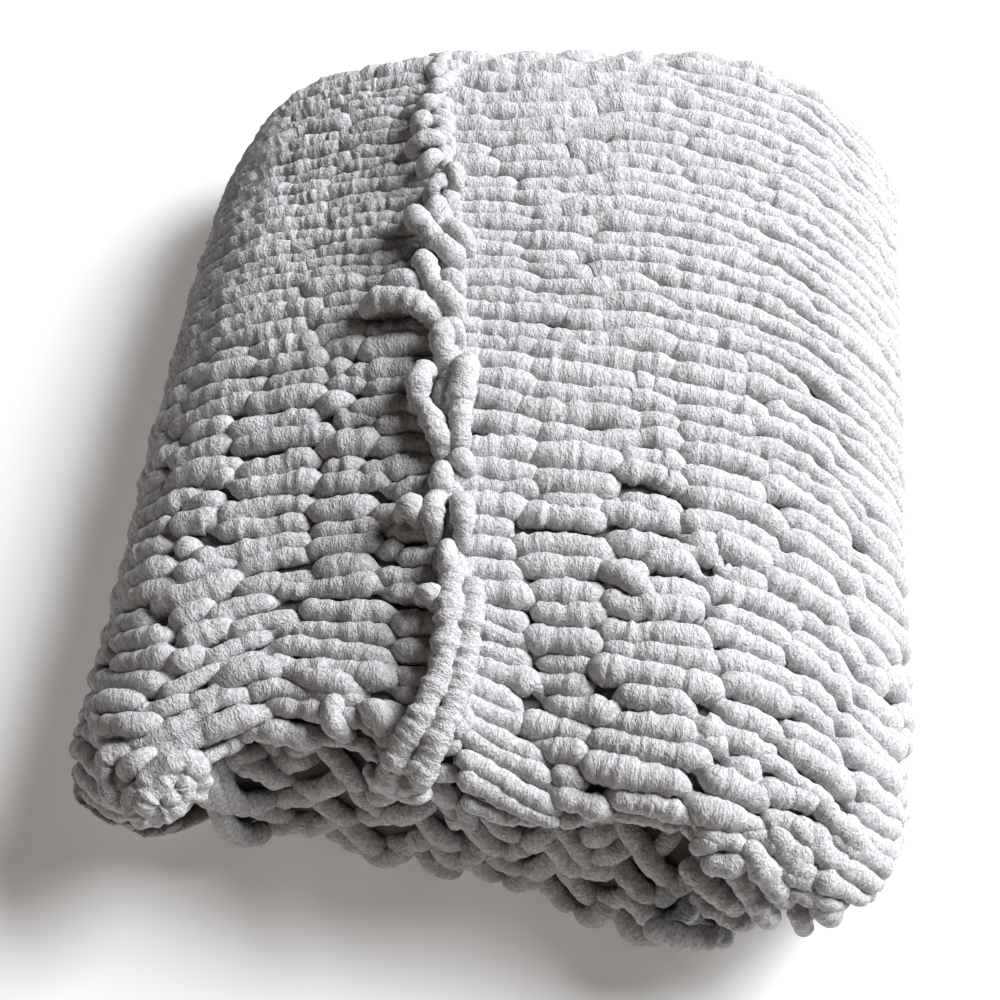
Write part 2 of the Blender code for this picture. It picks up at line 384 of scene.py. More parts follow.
    def settle(self, x: np.ndarray, y: np.ndarray, z: np.ndarray) -> np.ndarray:
        """Take the flat, square-cornered bundle to the crowned, leaning one as it lies.

        Args:
            x, y, z: points of the square bundle.

        Returns:
            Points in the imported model's frame, on a last axis of three.
        """
        along = y / self.half_depth
        level = z / self.flat_height
        left, right = self.aside(x)
        end_back = np.clip(along, 0.0, self.most_along) ** self.end_power
        end_front = np.clip(-along, 0.0, self.most_along) ** self.end_power
        to_front = smooth(*self.front_span, -along)
        low = 1.0 - smooth(*self.low_span, level)
        high = np.clip((level - self.top_from) / (1.0 - self.top_from), 0.0, 1.0) ** 2
        front_radius = np.where(x < 0.0, self.corner_front_left, self.corner_front_right)
        nose = smooth(*self.nose_span, left) * (1.0 - self.nose_loss * smooth(*self.nose_fade, left))
        depth, middle, reach = self.bulge
        past_seam = np.clip(x - self.seam_x, 0.0, None)
        move = (
            self.corner(x, front_radius) * end_front
            - self.corner(x, self.corner_back) * end_back
            - self.top_set_back * self.half_depth * end_back * high
            - self.lean_right * to_front * smooth(0.0, 1.0, right)
            + self.short_left * to_front * smooth(*self.short_span, left)
            - self.nose_left * to_front * nose
            - self.side_drop * smooth(*self.side_span, right)
            - depth * to_front * np.exp(-((x - middle) / reach) ** 2) * low
        )
        fan = self.fan_depth * (1.0 - low) * to_front * (1.0 - np.exp(-past_seam / self.fan_length))
        side = smooth(0.0, 1.0, np.maximum(left, right))
        new_x = x * (1.0 - self.narrowing * along) + self.skew * y * side - self.plan_middle[0]
        new_y = y + move - fan - self.plan_middle[1]
        return np.stack(np.broadcast_arrays(new_x, new_y, z * self.crown(x, y)), axis=-1)

    def lift_to_world(self, station: np.ndarray, y: np.ndarray, level: np.ndarray) -> np.ndarray:
        """A point at y and level above the stack's middle, at a station, in the world."""
        x, z, nx, nz = self.gate(station)
        return self.settle(x + level * nx, y, z + level * nz)

    def outer_length(self, station: np.ndarray) -> np.ndarray:
        """Length of the outer layer from the half fold to its front tip."""
        turn, reach, _, _ = self.front(station)
        return self.back_y - self.bend_y + reach + self.outer_radius * turn

    def outer(self, station: np.ndarray, run: np.ndarray, lift: np.ndarray) -> np.ndarray:
        """A place on the outer layer.

        In section the layer comes straight out of the slot at the back, goes round a
        half circle at the half fold (run below 0), runs straight, turns down in an arc
        at the front, and past the tip rolls round the layer's edge on a half circle of
        radius lift.

        Args:
            station: distance along the gate fold.
            run: distance from the half fold towards the front tip.
            lift: height above the layer's middle, outwards.

        Returns:
            World points.
        """
        turn, reach, _, _ = self.front(station)
        half = self.step / 2
        bend_y = self.bend_y - reach
        straight = self.back_y - bend_y
        tip = straight + self.outer_radius * turn
        past = np.clip(run - tip, 0.0, None)
        run = np.minimum(run, tip)
        fold = np.clip(-run / half, 0.0, np.pi)
        behind = self.back_y + half * np.sin(fold) - np.clip(-run - np.pi * half, 0.0, None)
        bend = np.clip((run - straight) / self.outer_radius, 0.0, None)
        y = np.where(run < 0.0, behind, self.back_y - np.maximum(run, 0.0))
        y = np.where(bend > 0.0, bend_y - self.outer_radius * np.sin(bend), y)
        m = np.where(run < 0.0, half * np.cos(fold), half)
        m = np.where(bend > 0.0, half - self.outer_radius * (1.0 - np.cos(bend)), m)
        ny = np.where(run < 0.0, np.sin(fold), -np.sin(bend))
        nm = np.where(run < 0.0, np.cos(fold), np.cos(bend))
        roll_radius = np.maximum(np.abs(lift), self.least_roll)
        roll = np.clip(past / roll_radius, 0.0, np.pi)
        back = past - roll * roll_radius
        out = lift * np.cos(roll)
        ahead = lift * np.sin(roll) - back
        return self.lift_to_world(station, y + out * ny - ahead * nm, m + out * nm + ahead * ny)

    def inner(self, station: np.ndarray, run: np.ndarray, lift: np.ndarray) -> np.ndarray:
        """A place on the inner layer's outward face at the front.

        In section it is a straight hang, an arc and a straight run back inside; run
        below 0 rolls round the lower edge on a half circle of radius lift.

        Args:
            station: distance along the gate fold.
            run: distance from the lower edge up, over the bend and back.
            lift: height above the layer's middle, towards the front.

        Returns:
            World points.
        """
        _, _, turn, hang = self.front(station)
        half = self.step / 2
        past = np.clip(-run, 0.0, None)
        run = np.maximum(run, 0.0)
        below = np.clip(hang - run, 0.0, None)
        bend = np.clip(turn - np.clip(run - hang, 0.0, None) / self.inner_radius, 0.0, None)
        bent = hang + self.inner_radius * turn
        y = self.bend_y - self.inner_radius * np.sin(bend) - below * np.cos(turn)
        y = y + np.clip(run - bent, 0.0, None)
        m = half - self.outer_radius + self.inner_radius * np.cos(bend) - below * np.sin(turn)
        ny = -np.sin(bend)
        nm = np.cos(bend)
        roll = np.clip(past / np.maximum(np.abs(lift), self.least_roll), 0.0, np.pi)
        out = lift * np.cos(roll)
        ahead = lift * np.sin(roll)
        return self.lift_to_world(station, y + out * ny - ahead * nm, m + out * nm + ahead * ny)

    def lay(self, layer: Layer, station: np.ndarray, run: np.ndarray,
            lift: np.ndarray) -> tuple[np.ndarray, np.ndarray]:
        """Lay the middle line of a yarn on a layer.

        The normal points from the line to the place a little further out.

        Args:
            layer: the layer it lies on.
            station, run, lift: the line, as in outer and inner.

        Returns:
            World points and outward normals.
        """
        place = self.outer if layer is Layer.OUTER else self.inner
        centre = place(station, run, lift)
        return centre, unit(place(station, run, lift + self.probe) - centre)


# ---------------------------------------------------------------- yarn as meshes


class Mesher:
    """Gathers grids of points and turns them into one mesh object."""

    def __init__(self, seed: int) -> None:
        """Start with nothing gathered.

        Args:
            seed: where the piece's random numbers start.
        """
        self.rng = np.random.default_rng(seed)
        self.points: list[np.ndarray] = []
        self.quads: list[np.ndarray] = []
        self.uvs: list[np.ndarray] = []
        self.tones: list[np.ndarray] = []
        self.crests: list[np.ndarray] = []
        self.count = 0

    def add_tube(self, rings: np.ndarray, along: np.ndarray, girth: float, tone: float) -> None:
        """Add one closed tube.

        Args:
            rings: points, stations by points around; the first and last ring are small.
            along: distance along the tube at each station, for the pattern.
            girth: distance around the tube, for the pattern.
            tone: how light the yarn is here, about 0.
        """
        rows, around = rings.shape[:2]
        index = self.count + np.arange(rows * around).reshape(rows, around)
        turned = np.roll(index, -1, axis=1)
        quads = np.stack([index[:-1], index[1:], turned[1:], turned[:-1]], axis=-1).reshape(-1, 4)
        v = np.arange(around + 1) / around * girth
        u_low, v_low = np.meshgrid(along[:-1], v[:-1], indexing="ij")
        u_high, v_high = np.meshgrid(along[1:], v[1:], indexing="ij")
        corners = [(u_low, v_low), (u_high, v_low), (u_high, v_high), (u_low, v_high)]
        uv = np.stack([np.stack(pair, axis=-1) for pair in corners], axis=2).reshape(-1, 2)
        caps = [index[0], index[-1][::-1]]
        self.points.append(rings.reshape(-1, 3))
        self.quads.append(quads)
        self.uvs.append(uv)
        for ring in caps:
            hub = np.repeat(ring[0], around // 2 - 1)
            fan = np.stack([ring[1:-2:2], ring[2:-1:2], ring[3::2], hub], axis=-1)
            self.quads.append(fan)
            self.uvs.append(np.zeros((fan.size, 2)))
        self.tones.append(np.full(rows * around, tone))
        self.crests.append(np.tile(-np.cos(2 * np.pi * np.arange(around) / around), rows))
        self.count += rows * around

    def build(self, name: str) -> bpy.types.Object:
        """Make one smooth shaded mesh of all that was gathered.

        Its UV map holds the run along and around the yarn. Its attributes hold each
        yarn's own tone, and crest: 1 on the yarn's outward side and -1 on its inward.

        Args:
            name: the object's name.

        Returns:
            The object.
        """
        points = np.concatenate(self.points)
        quads = np.concatenate(self.quads)
        mesh = bpy.data.meshes.new(name)
        mesh.vertices.add(len(points))
        mesh.vertices.foreach_set("co", points.astype(np.float32).ravel())
        mesh.loops.add(quads.size)
        mesh.loops.foreach_set("vertex_index", quads.astype(np.int32).ravel())
        mesh.polygons.add(len(quads))
        mesh.polygons.foreach_set("loop_start", np.arange(0, quads.size, 4, dtype=np.int32))
        mesh.polygons.foreach_set("use_smooth", np.ones(len(quads), dtype=bool))
        layer = mesh.uv_layers.new(name="yarn_run")
        layer.data.foreach_set("uv", np.concatenate(self.uvs).astype(np.float32).ravel())
        tone = mesh.attributes.new("tone", "FLOAT", "POINT")
        tone.data.foreach_set("value", np.concatenate(self.tones).astype(np.float32))
        crest = mesh.attributes.new("crest", "FLOAT", "POINT")
        crest.data.foreach_set("value", np.concatenate(self.crests).astype(np.float32))
        mesh.update(calc_edges=True)
        mesh.validate()
        piece = bpy.data.objects.new(name, mesh)
        bpy.context.scene.collection.objects.link(piece)
        return piece


@dataclass(frozen=True)
class YarnShape:
    """The section of the yarn, how knobbly it is and how finely it is meshed."""

    around: int = 12
    tall: float = 0.96
    knobble: float = 0.00095
    lump: float = 0.055
    lump_length: float = 0.009
    floor_clear: float = 0.0004
    cap_lead: tuple[float, ...] = (1.0, 0.86, 0.5)      # rings of a round end, in radii
    cap_size: tuple[float, ...] = (0.16, 0.55, 0.88)
    around_share: tuple[float, float] = (0.50, 0.35)    # of a push: its own, each neighbour's
    along_share: tuple[float, float] = (0.55, 0.40)
    pattern_start: float = 50.0     # the pattern along a yarn starts anywhere up to here

    def rings(self, centre: np.ndarray, normal: np.ndarray, radius: np.ndarray,
              rng: np.random.Generator) -> np.ndarray:
        """Carry an ellipse along a path and round both ends off.

        Each ring is radius (cos a side + tall sin a up), with side = tangent x normal
        and up = side x tangent. The ends get three rings of a half sphere. The radius
        swells and shrinks in soft lumps, and every point is pushed in or out a little,
        by a random amount that is blurred over its neighbours around and along the yarn.

        Args:
            centre: the path, stations by 3.
            normal: roughly outward at each station.
            radius: half the yarn's width at each station.
            rng: the piece's random numbers.

        Returns:
            Points, stations plus ends by points around by 3.
        """
        tangent = unit(np.gradient(centre, axis=0))
        side = unit(np.cross(tangent, normal))
        up = np.cross(side, tangent)
        lead = np.array(self.cap_lead)
        shrink = np.array(self.cap_size)
        extra = len(lead)
        head = centre[0] - tangent[0] * radius[0] * lead[:, None]
        tail = centre[-1] + tangent[-1] * radius[-1] * lead[::-1, None]
        centre = np.concatenate([head, centre, tail])
        step = np.linalg.norm(np.diff(centre, axis=0), axis=1)
        along = np.concatenate([[0.0], np.cumsum(step)])
        knots = np.arange(0.0, along[-1] + 2 * self.lump_length, self.lump_length)
        lumps = 1.0 + self.lump * np.interp(along, knots, rng.normal(size=len(knots)))
        radius = np.concatenate([radius[0] * shrink, radius, radius[-1] * shrink[::-1]]) * lumps
        side = np.pad(side, ((extra, extra), (0, 0)), mode="edge")
        up = np.pad(up, ((extra, extra), (0, 0)), mode="edge")
        angle = -np.pi / 2 + 2 * np.pi * np.arange(self.around) / self.around
        ring = (np.cos(angle)[None, :, None] * side[:, None]
                + self.tall * np.sin(angle)[None, :, None] * up[:, None])
        push = rng.normal(size=(len(radius), self.around))
        for axis, (own, other) in ((1, self.around_share), (0, self.along_share)):
            push = own * push + other * (np.roll(push, 1, axis=axis) + np.roll(push, -1, axis=axis))
        push[:extra] = 0.0
        push[-extra:] = 0.0
        points = centre[:, None] + (radius[:, None] + self.knobble * push)[..., None] * ring
        points[..., 2] = np.maximum(points[..., 2], self.floor_clear)
        return points

    def add(self, mesher: Mesher, centre: np.ndarray, normal: np.ndarray, radius: np.ndarray,
            tone: float = 0.0) -> None:
        """Mesh one yarn along a path and gather it.

        Args:
            mesher: where it is gathered.
            centre, normal, radius: the path, as in rings.
            tone: how light this yarn is, about 0.
        """
        rings = self.rings(centre, normal, radius, mesher.rng)
        middle = rings.mean(axis=1)
        steps = np.linalg.norm(np.diff(middle, axis=0), axis=1)
        start = mesher.rng.uniform(0.0, self.pattern_start)
        along = np.concatenate([[0.0], np.cumsum(steps)]) + start
        mesher.add_tube(rings, along, 2 * np.pi * float(radius.mean()), tone)


# ---------------------------------------------------------------- the knitting


@dataclass(frozen=True)
class RowKnot:
    """Where a row lies, in mm from the half fold over the cloth, at eight places across.

    The places are the left selvedge, the middle of the left flap, the left side, the
    right side low down and at its shoulder, the middle of the right flap, the right
    flap near the seam and the right selvedge.
    """

    row: int
    selvedge_left: float
    left: float
    side_left: float
    low_right: float
    side_right: float
    middle_right: float
    right: float
    selvedge_right: float


ROW_KNOTS = (
    RowKnot(0, 4, 0, 0, 62, 22, -1, 2, 0),
    RowKnot(8, 110, 102, 104, 193, 155, 133, 136, 132),
    RowKnot(16, 212, 203, 205, 318, 279, 258, 246, 240),
    RowKnot(20, 269, 260, 262, 382, 343, 323, 310, 303),
    RowKnot(24, 337, 329, 331, 445, 409, 393, 382, 373),
    RowKnot(28, 405, 398, 400, 502, 470, 459, 449, 447),
    RowKnot(32, 480, 475, 477, 560, 528, 517, 513, 511),
    RowKnot(36, 553, 549, 551, 618, 585, 574, 570, 568),
    RowKnot(40, 619, 616, 616, 676, 640, 627, 622, 618),
    RowKnot(46, 716, 716, 716, 762, 718, 703, 703, 699),
)
ROW_PLACES = (0.000, 0.120, 0.240, 0.900, 1.020, 1.145, 1.250, 1.291)


@dataclass(frozen=True)
class Slit:
    """Two rows pulled apart, so the dark between them shows."""

    station: float
    run: float
    half_length: float
    parting: float


SLITS = (
    Slit(0.131, 0.420, 0.012, 0.0055),
    Slit(0.113, 0.467, 0.014, 0.0035),
    Slit(0.035, 0.463, 0.022, 0.0040),
    Slit(0.044, 0.501, 0.022, 0.0035),
    Slit(0.099, 0.558, 0.010, 0.0050),
    Slit(0.160, 0.352, 0.016, 0.0030),
    Slit(0.133, 0.361, 0.012, 0.0040),
    Slit(1.271, 0.343, 0.014, 0.0050),
    Slit(1.271, 0.369, 0.014, 0.0060),
    Slit(1.240, 0.449, 0.018, 0.0030),
    Slit(1.179, 0.371, 0.016, 0.0040),
    Slit(1.149, 0.407, 0.016, 0.0045),
    Slit(1.212, 0.498, 0.016, 0.0030),
    Slit(1.160, 0.491, 0.010, 0.0040),
    Slit(1.090, 0.464, 0.014, 0.0050),
    Slit(1.051, 0.583, 0.012, 0.0050),
)


@dataclass(frozen=True)
class Wave:
    """One wave of a row along its run: its size in row pitches and how fast it goes."""

    size: float
    per_row: float
    per_metre: float
    start: float = 0.0


@dataclass(frozen=True)
class Knitting:
    """The purl rows of the outer layer: one yarn a row, from selvedge to selvedge.

    A row is a chain of plump stitches. Where one stitch ends the yarn dips, narrows
    and steps over towards the next row before the next stitch begins. Some steps are
    short and blunt, and others are long and hardly show.
    """

    fold: Fold
    shape: YarnShape
    first_row: int = -8
    last_row: int = 46
    pitch: float = 0.0160
    column: float = 0.0595
    first_columns: tuple[float, ...] = (0.056, 0.050, 0.046, 0.048)
    last_columns: tuple[float, ...] = (0.0560, 0.0600, 0.0600, 0.0580, 0.0590)
    step_over: float = 0.70         # step between neighbouring stitches, in row pitches
    share: tuple[float, float] = (0.80, 0.20)       # share of the step, and its swing
    share_rows: float = 3.1         # rows over which the share swings by one radian
    roam: float = 0.10              # slow drift of a column, in row pitches
    roam_rows: float = 4.3
    calm_columns: int = 5           # columns of the left flap, where the steps are less
    calm: float = 0.85
    uneven: float = 0.07            # how far one stitch strays, in row pitches
    stray: float = 0.0095           # how far a joint strays along its row
    wander: float = 1.3             # share of that which wanders slowly from row to row
    wander_rows: float = 4.0
    blunt: tuple[float, float] = (0.50, 1.0)        # how blunt a joint is, at least and most
    reach: tuple[float, float] = (0.0045, 0.0150)   # half a joint's length, blunt and long
    dip: tuple[float, float] = (0.0006, 0.0062)     # how deep a joint dips
    dip_share: tuple[float, float] = (0.45, 0.55)   # share at any joint, and from its step
    narrow: float = 12.0            # share of the radius lost for each metre of dip
    belly: float = 0.07
    belly_reach: float = 0.016
    free_left: tuple[float, float] = (0.16, 0.42)   # runs over which the rows come free
    free_right: tuple[float, float] = (0.28, 0.46)
    pressed_reach: float = 1.2      # where rows are pressed, joints are longer by this share
    pressed_shift: float = 0.50     # step over less
    pressed_dip: float = 0.72       # dip less
    pressed_plump: float = 0.10     # and are plumper
    under_plump: float = 0.06
    plump: tuple[float, float] = (1.09, 1.19)       # on the left flap and on the right
    thickness: tuple[float, float] = (0.0060, 0.0118)       # least and most radius, as laid
    last_thickness: tuple[float, float] = (0.0050, 0.0128)  # and in the end
    swell: float = 0.05             # how much one stitch's radius strays
    edge_lump: float = 0.22         # lumps where the right flap rolls over the half fold
    edge_lump_length: float = 0.0068
    edge_bell: tuple[float, float] = (-0.006, 0.030)
    pair: float = 0.05              # neighbouring rows lie in pairs, by this many pitches
    row_waves: tuple[tuple[float, float], ...] = ((0.031, 0.05), (0.012, 0.045), (0.074, 0.05))
    slow_waves: tuple[Wave, ...] = (Wave(0.06, 0.90, 19.0), Wave(0.05, 0.53, -31.0, 1.0))
    slit_depth: float = 0.016       # how far from a slit the rows still part
    slit_thin: float = 0.30         # share of the parting that comes off the radius
    lift: float = 0.0078
    lift_wave: tuple[float, float] = (0.0008, 0.015)
    past_tip: float = 0.018         # how far past the layer's tip a row still shows
    fine_step: float = 0.0017
    coarse_step: float = 0.0080
    fine_past: tuple[float, float] = (0.06, 0.05)   # how far under the sides the step is fine
    inset: float = 0.006            # from the selvedge to the end of a row
    least_samples: int = 24         # a shorter stretch of a row is left out
    pieces: int = 5
    seed: int = SEED

    def stations(self) -> np.ndarray:
        """Choose places along a row, close together where they show, wider underneath.

        Returns:
            Stations along the gate fold.
        """
        ends = self.fold.ends()
        low, high = ends[2] - self.fine_past[0], ends[3] + self.fine_past[1]
        return np.concatenate([
            np.arange(self.inset, low, self.fine_step),
            np.arange(low, high, self.coarse_step),
            np.arange(high, ends[5] - self.inset, self.fine_step),
        ])

    def joints(self) -> np.ndarray:
        """Find where one stitch column ends and the next begins.

        Returns:
            Stations along the gate fold.
        """
        left = np.cumsum(self.first_columns)
        right = self.fold.ends()[5] - np.cumsum(self.last_columns[::-1])[::-1]
        count = int(round((right[0] - left[-1]) / self.column))
        return np.concatenate([left[:-1], np.linspace(left[-1], right[0], count + 1), right[1:]])

    def row_runs(self, rows: np.ndarray, station: np.ndarray) -> np.ndarray:
        """Find how far over the cloth's face each row lies from the half fold.

        Args:
            rows: row numbers, below 0 behind the half fold.
            station: places along the gate fold.

        Returns:
            Runs, rows by stations.
        """
        knots = np.array([(k.selvedge_left, k.left, k.side_left, k.low_right, k.side_right,
                           k.middle_right, k.right, k.selvedge_right) for k in ROW_KNOTS]) * MM
        numbers = [knot.row for knot in ROW_KNOTS]
        ahead = np.clip(rows, 0, None)
        at_places = np.stack([np.interp(ahead, numbers, column) for column in knots.T], axis=1)
        at_places = at_places + (np.clip(rows, None, 0) * self.pitch)[:, None]
        return np.stack([np.interp(station, ROW_PLACES, row) for row in at_places])

    def under(self, station: np.ndarray) -> np.ndarray:
        """1 on the stretch underneath, 0 on the flaps."""
        ends = self.fold.ends()
        return smooth(ends[1], ends[2], station) * (1.0 - smooth(ends[3], ends[4], station))

    def pressed(self, station: np.ndarray, run: np.ndarray) -> np.ndarray:
        """Find how hard the rows are pressed together.

        Args:
            station: places along the gate fold.
            run: places from the half fold towards the front.

        Returns:
            1 underneath and at the back of the flaps, 0 at the front of the flaps.
        """
        ends = self.fold.ends()
        right = smooth(ends[3], ends[4], station) * (1.0 - smooth(*self.free_right, run))
        left = (1.0 - smooth(ends[1], ends[2], station)) * (1.0 - smooth(*self.free_left, run))
        return right + left + self.under(station)

    def back_edge(self, station: np.ndarray, run: np.ndarray) -> np.ndarray:
        """1 where the right flap rolls over the half fold, 0 elsewhere: a bell over the run."""
        ends = self.fold.ends()
        middle, reach = self.edge_bell
        return smooth(ends[3], ends[4], station) * np.exp(-((run - middle) / reach) ** 2)

    def stitches(self, rows: np.ndarray, rng: np.random.Generator) -> np.ndarray:
        """Set how far each stitch stands off its row.

        Neighbouring columns stand half a step to either side, by an amount that
        swells and fades slowly from row to row, and each stitch strays on its own.

        Args:
            rows: row numbers.
            rng: the rows' random numbers.

        Returns:
            Offsets in row pitches, rows by columns.
        """
        columns = len(self.joints()) + 1
        column = np.arange(columns)[None, :]
        phase = rng.uniform(0.0, 2 * np.pi, size=(2, columns))
        share = self.share[0] + self.share[1] * np.sin(rows[:, None] / self.share_rows + phase[0])
        calm = np.where(column < self.calm_columns, self.calm, 1.0)
        side = np.where(column % 2 == 0, 0.5, -0.5) * calm
        roam = self.roam * np.sin(rows[:, None] / self.roam_rows + phase[1])
        own = rng.normal(0.0, self.uneven, size=(len(rows), columns))
        return self.step_over * side * share + roam + own

    def scatter(self, rows: np.ndarray, rng: np.random.Generator) -> tuple[np.ndarray, ...]:
        """Place the joints of every row.

        A joint strays from its column's edge: partly in a slow wander from row to
        row, and partly on its own.

        Args:
            rows: row numbers.
            rng: the rows' random numbers.

        Returns:
            Stations, bluntness and half length of each joint, rows by joints.
        """
        joints = self.joints()
        phase = rng.uniform(0, 2 * np.pi, size=len(joints))
        wander = np.sin(rows[:, None] / self.wander_rows + phase[None, :])
        own = rng.normal(size=(len(rows), len(joints)))
        joint = joints + self.stray * (self.wander * wander + own)
        blunt = rng.uniform(*self.blunt, size=joint.shape)
        reach = self.reach[1] + (self.reach[0] - self.reach[1]) * blunt
        pressed = self.pressed(joint, rows[:, None] * self.pitch)
        return joint, blunt, reach * (1.0 + self.pressed_reach * pressed)

    def waves(self, rows: np.ndarray, station: np.ndarray, phase: np.ndarray) -> np.ndarray:
        """Add up the waves that a row makes along its run, in row pitches.

        Args:
            rows: row numbers.
            station: places along the gate fold.
            phase: where each row's own waves start, rows by waves.

        Returns:
            The sum, rows by stations.
        """
        wave = sum(np.sin(station[None, :] / length + phase[:, i:i + 1]) * size
                   for i, (length, size) in enumerate(self.row_waves))
        slow = sum(w.size * np.sin(rows[:, None] * w.per_row + station[None, :] * w.per_metre + w.start)
                   for w in self.slow_waves)
        pair = self.pair * np.where(rows % 2 == 0, 1.0, -1.0)[:, None]
        return wave + slow + pair

    def part(self, run: np.ndarray, station: np.ndarray) -> tuple[np.ndarray, np.ndarray]:
        """Pull the rows apart at each slit, by a bell along it that fades away from it.

        Args:
            run: where the rows lie, rows by stations.
            station: places along the gate fold.

        Returns:
            Where they lie then, and how far each place was pushed.
        """
        pushed = np.zeros_like(run)
        for slit in SLITS:
            near = np.exp(-((station[None, :] - slit.station) / slit.half_length) ** 2)
            away = run - slit.run
            push = slit.parting * near * np.exp(-np.abs(away) / self.slit_depth)
            run = run + np.sign(away) * push
            pushed = pushed + push
        return run, pushed

    def turn_in(self, run: np.ndarray) -> np.ndarray:
        """Change runs over the yarns behind the half fold to runs of the layer's middle.

        Round the half fold a yarn goes a longer way than the middle. Past it, in the
        slot, both go the same way.

        Args:
            run: runs at the yarns' lift.

        Returns:
            Runs at the layer's middle.
        """
        half = self.fold.step / 2
        arc = np.pi * (half + self.lift)
        folded = np.maximum(run, -arc) * half / (half + self.lift) + np.minimum(run + arc, 0.0)
        return np.where(run < 0.0, folded, run)

    def thick(self, centre: np.ndarray, station: np.ndarray, pressed: np.ndarray) -> np.ndarray:
        """Fill the room between neighbouring rows: half their distance, times plump.

        Args:
            centre: the rows' middle lines, rows by stations by 3.
            station: places along the gate fold.
            pressed: how hard they are pressed, rows by stations.

        Returns:
            Radii, rows by stations.
        """
        ends = self.fold.ends()
        tangent = unit(np.gradient(centre, axis=1))
        step = np.gradient(centre, axis=0)
        apart = np.linalg.norm(step - (step * tangent).sum(axis=-1, keepdims=True) * tangent, axis=-1)
        plump = np.where(station < (ends[2] + ends[3]) / 2, *self.plump)
        plump = plump + self.pressed_plump * pressed + self.under_plump * self.under(station)
        return np.clip(apart / 2 * plump, *self.thickness)

    def paths(self) -> tuple[np.ndarray, ...]:
        """Work out the rows.

        Returns:
            Middle lines and outward normals, rows by stations by 3, then radii and
            whether the row shows, rows by stations.
        """
        rng = np.random.default_rng(self.seed)
        rows = np.arange(self.first_row, self.last_row + 1)
        station = self.stations()
        run = self.row_runs(rows, station)
        pitch = np.gradient(run, axis=0)
        pressed = self.pressed(station, run)

        offset = self.stitches(rows, rng)
        joint, blunt, reach = self.scatter(rows, rng)
        away = station[None, :, None] - joint[:, None, :]
        over = smooth(-1.0, 1.0, away / reach[:, None, :])
        shift = stepped(offset, over) * (1.0 - self.pressed_shift * pressed)

        jump = np.clip(np.abs(np.diff(offset, axis=1)) / self.step_over, 0.0, 1.0)
        share = (self.dip_share[0] + self.dip_share[1] * jump) * blunt
        depth = self.dip[0] + (self.dip[1] - self.dip[0]) * share
        bell = np.exp(-(away / self.reach[0]) ** 2)
        dip = (depth[:, None, :] * bell).max(axis=2) * (1.0 - self.pressed_dip * pressed)
        nearest = np.abs(away).min(axis=2)

        phase = rng.uniform(0.0, 2 * np.pi, size=(len(rows), len(self.row_waves)))
        run = run + pitch * (shift + self.waves(rows, station, phase))
        run, pushed = self.part(run, station)
        run = self.turn_in(run)
        high, length = self.lift_wave
        lift = self.lift - dip + high * np.sin(station / length + phase[:, :1])
        centre, normal = self.fold.lay(Layer.OUTER, np.broadcast_to(station, run.shape), run, lift)

        swell = 1.0 + self.swell * rng.normal(size=offset.shape)
        lumps = np.sin(station / self.edge_lump_length + phase[:, 1:2])
        radius = self.thick(centre, station, pressed) * stepped(swell, over)
        radius = radius * (1.0 + self.edge_lump * self.back_edge(station, run) * lumps)
        radius = radius * (1.0 + self.belly * (smooth(0.0, self.belly_reach, nearest) - 0.5))
        radius = radius * (1.0 - self.narrow * dip) - self.slit_thin * pushed
        past = run - self.fold.outer_length(station)[None, :]
        return centre, normal, np.clip(radius, *self.last_thickness), past < self.past_tip

    def build(self) -> list[bpy.types.Object]:
        """Mesh the rows in pieces, from the back to the front.

        Returns:
            The pieces.
        """
        centre, normal, radius, shown = self.paths()
        count = len(centre)
        tones = np.random.default_rng(self.seed + 1).normal(0.0, 1.0, size=count)
        cuts = np.linspace(0, count, self.pieces + 1).astype(int)
        pieces = []
        for number, (low, high) in enumerate(zip(cuts[:-1], cuts[1:]), start=1):
            mesher = Mesher(self.seed + 10 + number)
            for i in range(low, high):
                for part in stretches(shown[i], self.least_samples):
                    self.shape.add(mesher, centre[i, part], normal[i, part], radius[i, part],
                                   float(tones[i]))
            pieces.append(mesher.build(f"rows_{number}"))
        return pieces


# ---------------------------------------------------------------- loops and strands


@dataclass(frozen=True)
class Loop:
    """One loop of yarn that stands above the rows, in mm: an arch between two places.

    A place is across the cloth from the left selvedge, below 0 to the right of the
    seam, and run from the half fold.
    """

    across: float
    run: float
    across_end: float
    run_end: float
    bow: float              # how far the middle bows sideways
    lift: float             # height of the arch's top above the middle of the layer
    radius: float


